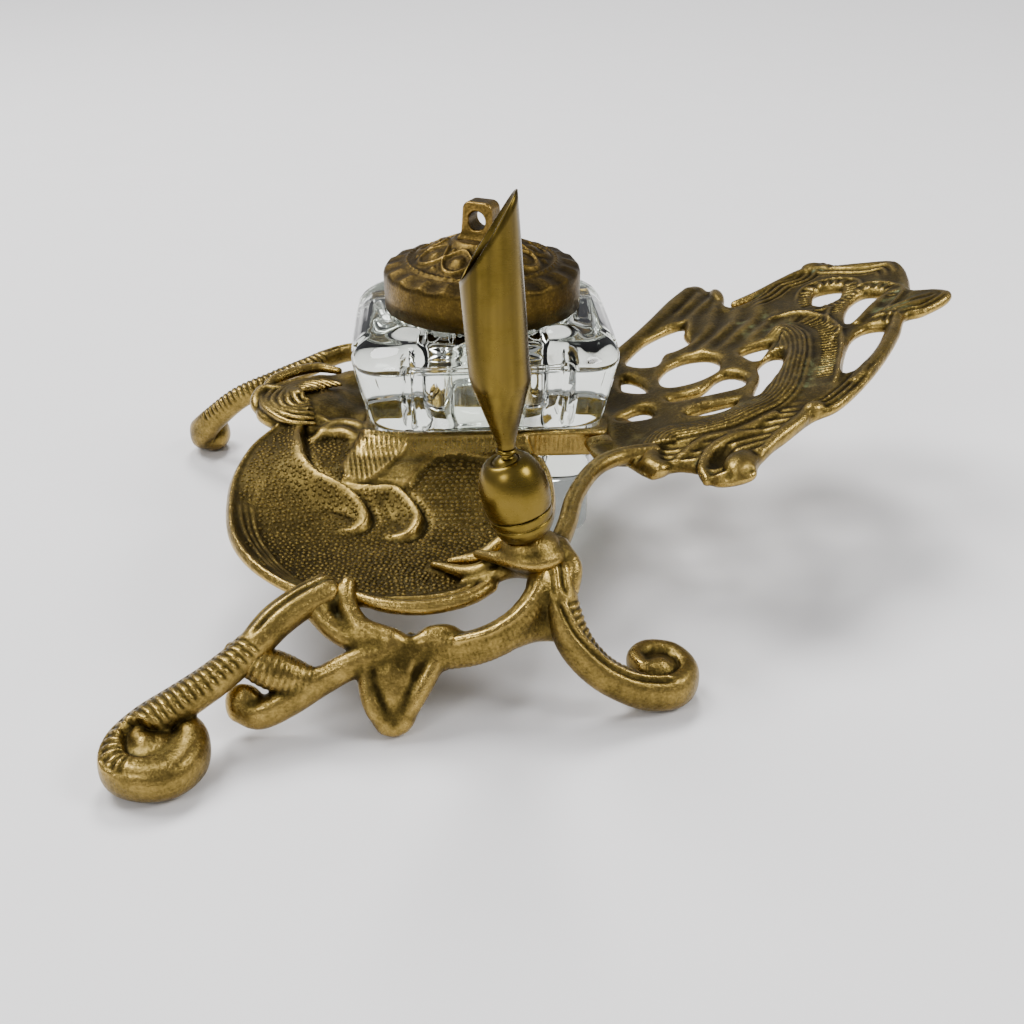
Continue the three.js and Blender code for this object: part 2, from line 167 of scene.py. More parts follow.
def round_square(dx, dy, half, corner):
    """Distance to a square with round corners, from the distances to its middle lines."""
    past = np.maximum(dx, dy) - half
    return np.maximum(
        np.hypot(np.maximum(dx - half + corner, 0), np.maximum(dy - half + corner, 0)) - corner, past
    )


def soft_min(a, b, blend):
    overlap = np.maximum(blend - np.abs(a - b), 0) / blend
    return np.minimum(a, b) - overlap * overlap * blend / 4


# ---- castings -------------------------------------------------------------------------------
class Casting:
    """A block of space that holds the distance to the metal's skin, in millimetres."""

    def __init__(self, low, high, cell):
        self.cell = cell
        self.axes = [a + cell * np.arange(int((b - a) / cell) + 2) for a, b in zip(low, high)]
        self.field = np.full([len(axis) for axis in self.axes], FAR, np.float32)

    def window(self, low, high):
        spans = []
        for axis, a, b in zip(self.axes, low, high):
            first = min(max(0, int(np.searchsorted(axis, a)) - 1), len(axis) - 1)
            last = min(len(axis), int(np.searchsorted(axis, b)) + 1)
            spans.append(slice(first, max(first + 1, last)))
        return tuple(spans)

    def grid(self, window):
        x, y, z = (axis[span] for axis, span in zip(self.axes, window))
        return x[:, None, None], y[None, :, None], z[None, None, :]

    def plan(self):
        return np.meshgrid(self.axes[0], self.axes[1], indexing="ij")

    def join(self, window, distance, blend):
        self.field[window] = soft_min(self.field[window], distance, blend)

    def cut(self, window, distance, blend=0.4):
        self.field[window] = -soft_min(-self.field[window], distance, blend)

    def plate(self, top, bottom, beyond, edge=1.2, blend=1.0):
        """Metal between two heights over the plan, where beyond is negative."""
        z = self.axes[2][None, None, :]
        skin = -soft_min(top[..., None] - z, z - bottom[..., None], 0.6)
        skin = -soft_min(-skin, -beyond[..., None], 2 * edge)
        self.join(EVERYWHERE, skin.astype(np.float32), blend)

    def sweep(self, stops, blend=1.4, relief=None, power=2.0):
        """A bar along a rail. Its relief takes the distance along, across and up it."""
        rail = Rail(stops, 0.45)
        reach = max(rail.wide.max(), rail.high.max()) + 2.2
        window = self.window(rail.at.min(0) - reach, rail.at.max(0) + reach)
        x, y, z = self.grid(window)
        shape = self.field[window].shape
        nearest, owner = np.full(shape, 1e6, np.float32), np.full(shape, -1, np.int32)
        for index, at in enumerate(rail.at):
            near = self.window(at - reach, at + reach)
            spans = [slice(a.start - b.start, a.stop - b.start) for a, b in zip(near, window)]
            gap = (x[spans[0]] - at[0]) ** 2 + (y[:, spans[1]] - at[1]) ** 2
            gap = gap + (z[:, :, spans[2]] - at[2]) ** 2
            view = nearest[tuple(spans)]
            better = gap < view
            view[better] = gap[better]
            owner[tuple(spans)][better] = index
        taken = owner >= 0
        index, where = owner[taken], np.nonzero(taken)
        spots = np.stack([self.axes[k][window[k]][where[k]] for k in range(3)], 1)
        offset = spots - rail.at[index]
        arc = rail.arc[index] + (offset * rail.along[index]).sum(1)
        over = np.maximum(np.maximum(-arc, arc - rail.length), 0)
        wide, high = np.interp(arc, rail.arc, rail.wide), np.interp(arc, rail.arc, rail.high)
        across = (offset * rail.side[index]).sum(1) / wide
        upward = (offset * rail.up[index]).sum(1) / high
        radius = np.minimum(wide, high)
        turn = (np.abs(across) ** power + np.abs(upward) ** power) ** (1 / power)
        distance = (np.hypot(turn, over / radius) - 1) * radius
        if relief:
            distance = distance - relief(arc, across, upward)
        result = np.full(shape, FAR, np.float32)
        result[taken] = distance
        self.join(window, result, blend)

    def lump(self, centre, radii, turn=0.0, blend=1.4, hollow=False):
        """An egg of metal, or a hollow of that shape."""
        reach = max(radii) + 3
        window = self.window([c - reach for c in centre], [c + reach for c in centre])
        x, y, z = self.grid(window)
        c, s = math.cos(turn), math.sin(turn)
        dx, dy = x - centre[0], y - centre[1]
        along, aside = (c * dx + s * dy) / radii[0], (c * dy - s * dx) / radii[1]
        share = np.sqrt(along**2 + aside**2 + ((z - centre[2]) / radii[2]) ** 2)
        distance = (share - 1) * min(radii)
        (self.cut if hollow else self.join)(window, distance.astype(np.float32), blend)

    def flat_bottom(self, height):
        z = self.axes[2][None, None, :]
        self.field = -soft_min(-self.field, z - height, 0.8)

    def skin(self, soften=1):
        """The metal's surface as points and four-sided faces."""
        field = self.field.copy()
        for axis in range(3):
            for end in (0, -1):
                field[tuple(end if k == axis else slice(None) for k in range(3))] = FAR
        inside = field < 0
        corners = [(i, j, k) for i in (0, 1) for j in (0, 1) for k in (0, 1)]
        n = [size - 1 for size in field.shape]
        count = sum(
            inside[i : i + n[0], j : j + n[1], k : k + n[2]].astype(np.int8) for i, j, k in corners
        )
        cells = np.argwhere((count > 0) & (count < 8))
        number = np.full(n, -1, np.int32)
        number[tuple(cells.T)] = np.arange(len(cells))
        values = np.stack([field[tuple((cells + corner).T)] for corner in corners], 1)
        total, hits = np.zeros((len(cells), 3)), np.zeros(len(cells))
        for a, first in enumerate(corners):
            for b, second in enumerate(corners):
                if a < b and sum(abs(p - q) for p, q in zip(first, second)) == 1:
                    crossed = (values[:, a] < 0) != (values[:, b] < 0)
                    share = values[:, a] / np.where(crossed, values[:, a] - values[:, b], 1)
                    spot = np.array(first) + share[:, None] * (np.array(second) - np.array(first))
                    total += np.where(crossed[:, None], spot, 0)
                    hits += crossed
        low = np.array([axis[0] for axis in self.axes])
        points = low + self.cell * (cells + total / hits[:, None])
        faces = []
        for axis in range(3):
            ahead = tuple(slice(1, None) if k == axis else slice(None) for k in range(3))
            behind = tuple(slice(None, -1) if k == axis else slice(None) for k in range(3))
            edges = np.argwhere(inside[ahead] != inside[behind])
            leaving = inside[tuple(edges.T)]
            p, q = np.eye(3, dtype=int)[(axis + 1) % 3], np.eye(3, dtype=int)[(axis + 2) % 3]
            quad = np.stack([number[tuple((edges - back).T)] for back in (p + q, q, 0 * p, p)], 1)
            faces.append(np.where(leaving[:, None], quad, quad[:, ::-1]))
        faces = np.vstack(faces)
        return smoothed(points, faces, soften), faces


def neighbours(faces, count):
    edges = np.vstack([faces[:, [k, (k + 1) % 4]] for k in range(4)])
    a, b = np.r_[edges[:, 0], edges[:, 1]], np.r_[edges[:, 1], edges[:, 0]]
    share = np.maximum(np.bincount(a, minlength=count), 1)
    return lambda rows: np.stack(
        [np.bincount(a, column[b], minlength=count) / share for column in rows.T], 1
    )


def smoothed(points, faces, rounds):
    average = neighbours(faces, len(points))
    for _ in range(rounds):
        points = 0.5 * points + 0.5 * average(points)
    return points


def hollowness(points, faces):
    """Above 0 in a hollow and below 0 on an edge, about -1 to 1."""
    average = neighbours(faces, len(points))
    found = np.zeros(len(points))
    a, b, c, d = (points[faces[:, k]] for k in range(4))
    across = np.cross(c - a, d - b)
    normal = np.zeros_like(points)
    for k in range(4):
        for axis in range(3):
            normal[:, axis] += np.bincount(faces[:, k], across[:, axis], minlength=len(points))
    normal = unit(normal)
    moved = points
    for rounds, reach in ((4, 0.12), (18, 0.5)):
        for _ in range(rounds):
            moved = average(moved)
        found += 0.5 * ((moved - points) * normal).sum(1) / reach
    return np.clip(found, -1, 1)


# ---- pieces ---------------------------------------------------------------------------------
def piece(name, points, faces, body, finish, replaced=(), in_millimetres=True):
    """A finished mesh at the origin that rides on a body."""
    places = in_frame(points) if in_millimetres else np.asarray(points, float)
    mesh = bpy.data.meshes.new(name)
    if isinstance(faces, np.ndarray):
        count, sides = faces.shape
        mesh.vertices.add(len(places))
        mesh.vertices.foreach_set("co", places.astype(np.float32).ravel())
        mesh.loops.add(count * sides)
        mesh.loops.foreach_set("vertex_index", faces.astype(np.int32).ravel())
        mesh.polygons.add(count)
        mesh.polygons.foreach_set("loop_start", np.arange(0, count * sides, sides, dtype=np.int32))
        mesh.update(calc_edges=True)
        mesh.validate()
    else:
        mesh.from_pydata([tuple(p) for p in places], [], faces)
    mesh.polygons.foreach_set("use_smooth", [True] * len(mesh.polygons))
    mesh.materials.append(finish)
    made = bpy.data.objects.new(name, mesh)
    bpy.context.scene.collection.objects.link(made)
    settle(made, body, replaced)
    return made


def settle(made, body, replaced=()):
    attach(made, body)
    if replaced:
        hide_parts(*replaced)


def keep_number(made, name, values):
    attribute = made.data.attributes.get(name) or made.data.attributes.new(name, "FLOAT", "POINT")
    attribute.data.foreach_set("value", np.asarray(values, np.float32))


def cast_piece(name, casting, finish, replaced, soften=1, body="stand"):
    points, faces = casting.skin(soften)
    made = piece(name, points, faces, body, finish, replaced)
    keep_number(made, "hollow", hollowness(points, faces))
    return made, points


def band_faces(rings, sides, closed):
    """Four-sided faces between rings of points, and back to the first ring where it is closed."""
    faces = []
    for j in range(rings if closed else rings - 1):
        k = (j + 1) % rings
        for i in range(sides):
            n = (i + 1) % sides
            faces.append((j * sides + i, j * sides + n, k * sides + n, k * sides + i))
    return faces


def cap_faces(rings, sides):
    """Fans from the two points that follow the rings, at the first ring and at the last."""
    base, last = rings * sides, (rings - 1) * sides
    faces = []
    for i in range(sides):
        n = (i + 1) % sides
        faces += [(base, n, i), (base + 1, last + i, last + n)]
    return faces


def turned(name, profile, sides, place, body, finish, replaced=(), relief=None):
    """A turned piece. The profile is a closed loop of radius and height, or starts and ends at 0."""
    profile = np.asarray(profile, float)
    on_axis = profile[0, 0] < 1e-6
    rows = profile[1:-1] if on_axis else profile
    angles = 2 * math.pi * np.arange(sides) / sides
    rings = []
    for radius, height in rows:
        lift = relief(radius, height, angles) if relief else np.zeros(sides)
        rings.append(np.stack([radius * np.cos(angles), radius * np.sin(angles), height + lift], 1))
    points = np.vstack(rings)
    faces = band_faces(len(rows), sides, not on_axis)
    if on_axis:
        points = np.vstack([points, [[0, 0, profile[0, 1]], [0, 0, profile[-1, 1]]]])
        faces += cap_faces(len(rows), sides)
    area = (
        profile[:, 0] * np.roll(profile[:, 1], -1) - np.roll(profile[:, 0], -1) * profile[:, 1]
    ).sum()
    if area < 0:
        faces = [face[::-1] for face in faces]
    placed = [place @ Vector(p) for p in points]
    return piece(name, placed, faces, body, finish, replaced, in_millimetres=False)


def rounded(profile, radius=0.25, steps=3):
    """A profile whose corners are cut round."""
    rows = []
    count = len(profile)
    for i, (x, y) in enumerate(profile):
        before, after = np.array(profile[i - 1]), np.array(profile[(i + 1) % count])
        at = np.array([x, y])
        if x < 1e-6 or radius <= 0:
            rows.append(at)
            continue
        a, b = before - at, after - at
        la, lb = np.linalg.norm(a), np.linalg.norm(b)
        start, end = at + a / la * min(radius, 0.4 * la), at + b / lb * min(radius, 0.4 * lb)
        for t in np.linspace(0, 1, steps + 1):
            rows.append((1 - t) ** 2 * start + 2 * t * (1 - t) * at + t**2 * end)
    return rows


# ---- shader language ------------------------------------------------------------------------
class Signal:
    """A socket that Python's operators add Math nodes to."""

    def __init__(self, recipe, socket):
        self.recipe, self.socket = recipe, socket

    def maths(self, operation, *values):
        return self.recipe.make("ShaderNodeMath", {"operation": operation}, dict(enumerate(values)))

    def __add__(self, other):
        return self.maths("ADD", self, other)

    def __sub__(self, other):
        return self.maths("SUBTRACT", self, other)

    def __mul__(self, other):
        return self.maths("MULTIPLY", self, other)

    def __rsub__(self, other):
        return self.maths("SUBTRACT", other, self)

    __radd__ = __add__
    __rmul__ = __mul__

    def clamp(self, low=0.0, high=1.0):
        return self.maths("MINIMUM", self.maths("MAXIMUM", self, low), high)

    def between(self, low, high):
        """0 at low and 1 at high, held beyond them."""
        values = {"Value": self, "From Min": low, "From Max": high}
        return self.recipe.make("ShaderNodeMapRange", {"clamp": True}, values)


class Recipe:
    """One material's nodes."""

    def __init__(self, name):
        self.material = bpy.data.materials.new(name)
        self.material.use_nodes = True
        self.tree = self.material.node_tree
        self.tree.nodes.clear()

    def make(self, kind, settings=None, values=None, out=0):
        node = self.tree.nodes.new(kind)
        for key, value in (settings or {}).items():
            setattr(node, key, value)
        for key, value in (values or {}).items():
            if isinstance(value, Signal):
                self.tree.links.new(value.socket, node.inputs[key])
            else:
                node.inputs[key].default_value = value
        return Signal(self, node.outputs[out])

    def place(self):
        return self.make("ShaderNodeTexCoord", out="Object")

    def number(self, name):
        return self.make("ShaderNodeAttribute", {"attribute_name": name}, out="Fac")

    def noise(self, scale, detail=3.0, roughness=0.55, stretch=None):
        where = self.place()
        if stretch:
            where = self.make("ShaderNodeMapping", values={"Vector": where, "Scale": stretch})
        values = {"Vector": where, "Scale": scale, "Detail": detail, "Roughness": roughness}
        return self.make("ShaderNodeTexNoise", values=values)

    def blend(self, share, first, second, mode="MIX"):
        settings = {"data_type": "RGBA", "blend_type": mode}
        return self.make("ShaderNodeMix", settings, {0: share, 6: first, 7: second}, out=2)

    def bump(self, height, distance, strength):
        values = {"Height": height, "Distance": distance, "Strength": strength}
        return self.make("ShaderNodeBump", values=values)

    def finish(self, values):
        shader = self.make("ShaderNodeBsdfPrincipled", values=values)
        output = self.tree.nodes.new("ShaderNodeOutputMaterial")
        self.tree.links.new(shader.socket, output.inputs["Surface"])
        return self.material


def rgba(colour):
    return (*colour[:3], 1.0)


def cast_brass(name, settings, brown=0.0, green=0.0, hollow_bias=0.0):
    """Old cast brass: dark in the hollows, rubbed bright on the edges, sandy all over."""
    recipe = Recipe(name)
    hollow = recipe.number("hollow")
    clouds = recipe.noise(55.0, 4.0, 0.6)
    patches = recipe.noise(190.0, 4.0, 0.65)
    sand = recipe.noise(1500.0, 2.0, 0.6)
    glints = recipe.noise(2600.0, 1.0, 0.5)
    # wear lifts the brass towards its bright colour where hollowness is low; on the tray this also
    # brings in the painted highlight on the frame's front
    wear_and_highlight = 0.52 - 0.55 * hollow + 0.55 * (patches - 0.5) + 0.3 * (clouds - 0.5)
    wear_and_highlight = wear_and_highlight + 0.5 * (sand - 0.5) - hollow_bias
    dark, middle, bright = (rgba(c) for c in (settings.dark, settings.middle, settings.bright))
    colour = recipe.blend(wear_and_highlight.between(0.12, 0.55), dark, middle)
    colour = recipe.blend(wear_and_highlight.between(0.5, 1.0), colour, bright)
    colour = recipe.blend(recipe.number("stippled") * 0.5, colour, dark)
    brownish = recipe.blend(1.0, colour, (1.0, 0.86, 0.78, 1.0), "MULTIPLY")
    colour = recipe.blend(brown, colour, brownish)
    verdigris = clouds.between(0.55, 0.75) * patches.between(0.45, 0.7) * (0.5 + hollow).clamp()
    verdigris = verdigris * green
    colour = recipe.blend(verdigris.clamp(0, 0.75), colour, (0.09, 0.12, 0.045, 1.0))
    tarnish = (clouds.between(0.35, 0.65) * (1 - patches.between(0.35, 0.6))).clamp()
    colour = recipe.blend(tarnish * 0.35, colour, dark)
    roughness = 0.4 - 0.16 * wear_and_highlight.between(0.5, 1.0) + 0.16 * hollow.clamp() + 0.12 * (glints - 0.5)
    pits = recipe.noise(900.0, 3.0, 0.7)
    height = 0.6 * sand + 0.4 * glints + 0.9 * pits.between(0.25, 0.5)
    return recipe.finish({
        "Base Color": colour,
        "Metallic": 1 - verdigris.clamp(0, 0.6),
        "Roughness": roughness.clamp(0.2, 0.75),
        "Normal": recipe.bump(height, 0.00011, 0.8),
    })


def spun_brass(name, settings, painted_reflection_bands=0.0):
    """Satin turned brass, with fine lines round it, dull spots, and streaks along it on the tube."""
    recipe = Recipe(name)
    lines = recipe.noise(900.0, 2.0, 0.5, (0.06, 0.06, 1.0))
    patches = recipe.noise(130.0, 4.0, 0.6)
    specks = recipe.noise(700.0, 2.0, 0.6)
    dull = (patches.between(0.5, 0.72) * 0.6 + specks.between(0.66, 0.74) * 0.7).clamp()
    colour = recipe.blend(patches.between(0.3, 0.7), rgba(settings.spun), rgba(settings.spun_light))
    colour = recipe.blend(dull * 0.6, colour, rgba(settings.middle))
    # painted reflection: dark streaks along the tube, in place of the dark bands a polished tube
    # reflects
    along = recipe.noise(210.0, 2.0, 0.5, (1.0, 1.0, 0.05))
    colour = recipe.blend(along.between(0.62, 0.38) * painted_reflection_bands, colour, rgba(settings.dark))
    roughness = (0.27 + 0.12 * dull + 0.08 * (lines - 0.5)).clamp(0.15, 0.6)
    return recipe.finish({
        "Base Color": colour,
        "Metallic": 1.0,
        "Roughness": roughness,
        "Normal": recipe.bump(lines, 0.00003, 0.5),
    })


def plain_steel(name):
    recipe = Recipe(name)
    grain = recipe.noise(800.0, 2.0)
    return recipe.finish({
        "Base Color": recipe.blend(grain, (0.32, 0.32, 0.33, 1), (0.45, 0.45, 0.46, 1)),
        "Metallic": 1.0,
        "Roughness": (0.3 + 0.2 * grain).clamp(),
    })


def clear_glass(name, settings):
    """Clear pressed glass with the faint waves of the mould."""
    recipe = Recipe(name)
    waves = recipe.noise(38.0, 2.0, 0.5)
    return recipe.finish({
        "Base Color": rgba(settings.tint),
        "Roughness": 0.015,
        "IOR": 1.5,
        "Transmission Weight": 1.0,
        "Normal": recipe.bump(waves, 0.0006, 0.35),
    })


FINISHES = {}


def finish_for(key):
    """Each finish is made once, when a piece first asks for it."""
    if key not in FINISHES:
        colours = bpy.context.scene.inkstand_finish
        makers = {
            "stand": lambda: cast_brass("stand_brass", colours, green=0.5),
            "wing": lambda: cast_brass("wing_brass", colours, green=2.6, hollow_bias=0.06),
            "lid": lambda: cast_brass("lid_brass", colours, brown=0.6),
            "stipple": lambda: cast_brass("stipple_brass", colours, hollow_bias=-0.14),
            "spun": lambda: spun_brass("spun_brass", colours),
            # the tube's dark streaks are painted reflection bands
            "tube": lambda: spun_brass("tube_brass", colours, 0.75),
            "steel": lambda: plain_steel("plain_steel"),
            "glass": lambda: clear_glass("clear_glass", colours),
        }
        FINISHES[key] = makers[key]()
    return FINISHES[key]


# ---- the tray -------------------------------------------------------------------------------
TRAY_OUTLINE = [
    (-69.4, -52, 32), (-66.4, -72, 31), (-58.6, -87, 30), (-47, -95.6, 28), (-33, -97.2, 26.2),
    (-16, -97.2, 26.2), (-4, -92, 27.8), (5, -85, 32), (12, -70, 34.5), (13, -52, 35.5),
    (10, -38, 35.6), (4, -32, 36.2), (-30, -30, 36.4), (-38, -24, 36.4), (-44, -20, 36.5),
    (-55, -15.5, 36.5), (-64.4, -26, 35), (-68.4, -38, 33.5),
]
# The smooth shelf between the tray's floor and the frame, and its fluted corner.
SHELF = [
    (13, -37), (4, -41.6), (-3, -40.4), (-9.8, -38.2), (-16.2, -39), (-20.3, -44), (-23, -50),
    (-34, -50.4), (-40.6, -47.6), (-41.4, -41), (-39.6, -34), (-40.6, -27), (-36, -22), (-30, -20),
    (13, -20),
]
# Folds of the leaf that lies in the tray: a line, its height, how soft it is on its right, and
# how its height runs from the start, over the middle, to the end.
TRAY_FOLDS = [
    ([
        (-51.5, -18), (-53, -26), (-52.3, -33), (-50.7, -40.5), (-47.3, -46), (-42, -50.7),
        (-37, -55), (-34.2, -59.5), (-34.4, -63.4), (-37.4, -65.4), (-42, -64.6),
    ], 3.4, 4.6, (0.7, 1.0, 0.0)),
    ([
        (-41, -48.6), (-34, -50.9), (-27.4, -51.8), (-23, -56.6), (-20.6, -62.6), (-22.4, -67.4),
        (-26, -68.6), (-30, -67),
    ], 2.8, 3.8, (0.3, 1.0, 0.0)),
]
OVAL = [(-40.6, -47), (-34.7, -48.6), (-28.9, -43), (-24.4, -35), (-23, -29), (-37, -29), (-39.4, -36)]
FINGERS = [
    [(1, -81, 33, 2.0, 1.8), (-6, -84, 29.6, 2.0, 1.5), (-13.4, -82.6, 27.4, 0.9, 0.9)],
    [(2, -88, 32.4, 2.2, 1.9), (-8, -89.6, 28.8, 2.0, 1.5), (-17.4, -83.2, 27, 0.8, 0.8)],
    [(2, -92, 31, 2.0, 2.0), (-5, -92.6, 28.4, 1.9, 1.6), (-10.4, -91.6, 26.8, 1.0, 1.0)],
]
CRESCENT = [
    (-36, -95.4, 26.6, 1.2, 1.4), (-29, -98.8, 26, 1.6, 1.7), (-22, -100.1, 25.8, 1.7, 1.8),
    (-15.6, -99.7, 26, 1.8, 1.8), (-9, -97.6, 26.6, 1.9, 1.8), (-4.4, -94.6, 27.6, 1.8, 1.8),
]
LEFT_VEIN = [(-66.2, -56), (-63.4, -68), (-58.4, -79), (-53.4, -86.6), (-49.5, -90.6)]
LEFT_VEINS = [[(x + aside, y) for x, y in LEFT_VEIN] for aside in (0.0, 1.5, 3.0)]
CURL_CENTRE = (-52.6, -8.4)
CURL_LOBES = [
    [
        (-57, -20, 35.4, 1.8, 1.8), (-62.8, -16.6, 35.8, 2.2, 2.2), (-64.6, -12.4, 36.2, 2.3, 2.2),
        (-61, -10.6, 37.4, 1.6, 1.6),
    ],
    [
        (-65, -12, 35.6, 1.8, 1.8), (-67, -7.4, 37.2, 2.3, 2.4), (-65.4, -2, 38.6, 2.3, 2.3),
        (-60.6, -2.4, 39, 1.6, 1.6),
    ],
    [
        (-65, -3, 37.6, 1.8, 1.8), (-63.6, 4, 38.8, 2.1, 2.1), (-58, 9.6, 39.4, 2.2, 2.0),
        (-51, 12.6, 39.6, 2.0, 1.9), (-44.6, 10.6, 39.2, 1.3, 1.4),
    ],
    [
        (-47, -24, 34.8, 2.2, 1.8), (-43, -20.4, 35.6, 2.6, 1.9), (-38.6, -21.6, 35.8, 2.6, 1.9),
        (-35, -25.6, 35.6, 2.2, 1.8),
    ],
    [
        (-50, -27, 33.2, 2.2, 1.7), (-46, -24.4, 34.4, 2.4, 1.8), (-41, -25.8, 34.6, 2.4, 1.8),
        (-37, -29.6, 34.2, 2.0, 1.6),
    ],
]


def curl_strands():
    """Thin strands laid in arcs round one another."""
    rows = []
    for index, radius in enumerate((2.2, 4.0, 5.8, 7.6, 9.4, 11.2, 13.0)):
        arc = []
        for k, turn in enumerate(range(45, 286, 30)):
            sway = 0.7 * math.sin(0.05 * turn + index)
            a, r = math.radians(turn), radius + sway
            thick = 1.1 * math.sin(math.pi * (k + 1) / 10) ** 0.5
            arc.append((
                CURL_CENTRE[0] + 0.94 * r * math.cos(a), CURL_CENTRE[1] + 1.12 * r * math.sin(a),
                41.4 - 0.2 * r - 0.9 * step(np.array(-math.sin(a)), 0.4, 1.0), thick, thick,
            ))
        rows.append(arc)
    return rows


STAND_LOW, STAND_HIGH, STAND_CELL = (-71.5, -105, 20), (43, 36.5, 44.5), 0.42
NEAR_STRUT = [
    (11, -90, 33.5, 2.4, 2.6), (14.6, -80, 35, 2.4, 2.4), (18, -68, 36.8, 2.3, 2.2),
    (24, -56.5, 38, 2.3, 2.2), (31, -51, 38.6, 2.5, 2.3), (40, -50, 39.2, 2.8, 2.4),
]
FRAME_TOP, FRAME_LOW, FRAME_HALF, FRAME_OPENING, WELL_FLOOR = 38.0, 30.6, 33.4, 30.3, 30.2
BOSS_REACH = 6.6
STIPPLED_FROM = 0.45  # the share from which the tray's skin carries domes


def within(polygon, x, y, soft=1.2):
    """1 inside a polygon and 0 outside it, with a soft edge."""
    gap, _ = outside(np.array(polygon, float), x, y)
    return step(-gap, -0.5 * soft, 0.5 * soft)


def tray_heights(x, y):
    """Height of the tray's floor and rim over the plan, how far outside it is, and the stipple."""
    ring = spline(TRAY_OUTLINE, 8, closed=True)
    beyond, arc = outside(ring[:, :2], x, y)
    lengths = lengths_along(np.vstack([ring, ring[:1]])[:, :2])
    rim = np.interp(arc, lengths, np.r_[ring[:, 2], ring[0, 2]])
    depth = np.maximum(-beyond, 0)
    floor = 26.0 + 8.2 * step(y, -74, -31) + 1.2 * step(-x, 44, 62)
    shelf = within(SHELF, x, y, 2.6)
    floor = floor + shelf * (1.3 - 0.5 * step(y, -44, -36))
    wall = bell(depth, 4.4) * (1 - step(y, -44, -34) * step(x, -46, -36))
    top = floor + (rim - floor) * wall
    top = top + 0.8 * bell(depth - 0.9, 0.9) * step(-x - 0.3 * y, 25, 45)
    stipple = step(depth, 2.2, 3.6) * (1 - shelf)
    for line, height, soft, (start, middle, end) in TRAY_FOLDS:
        side, run = beside(spline(line, 8), x, y)
        share = run / run.max()
        level = np.interp(share, [0, 0.4, 0.72, 1], [start, middle, 0.85 * middle, end]) * height
        soft_side = np.where(side > 0, bell(side, 0.8), bell(side, soft))
        groove = 0.6 * bell(side - 1.8, 0.9) * step(share, 0.02, 0.2) * fall(share, 0.8, 1)
        top = top + level * soft_side - groove
        smooth = np.where(side > 0, bell(side, 1.6), bell(side, soft * 0.52)) * step(level, 0.2, 1.0)
        stipple = stipple * (1 - smooth)
    rise = step(y, -39, -33.2) * step(x, -39, -35) * fall(x, 8, 12)
    top = top + rise * (2.3 + 0.13 * wave(x, FLUTE))
    flutes = within(OVAL, x, y, 1.6)
    top = top + flutes * (0.4 + 0.16 * wave(x + 0.12 * y, FLUTE))
    side, _ = beside(spline(OVAL[:4], 8), x, y)
    top = top + 0.4 * bell(side, 0.7)
    for line in LEFT_VEINS:
        side, run = beside(spline(line, 6), x, y)
        share = run / run.max()
        top = top + 0.7 * bell(side, 0.5) * np.sin(math.pi * np.clip(share, 0, 1)) ** 0.6
        stipple = stipple * (1 - bell(side, 1.0))
    for finger in FINGERS:
        side, _ = beside(np.array(finger)[:, :2], x, y)
        stipple = stipple * step(np.abs(side), 1.8, 3.0)
    return top, beyond - 0.5, stipple


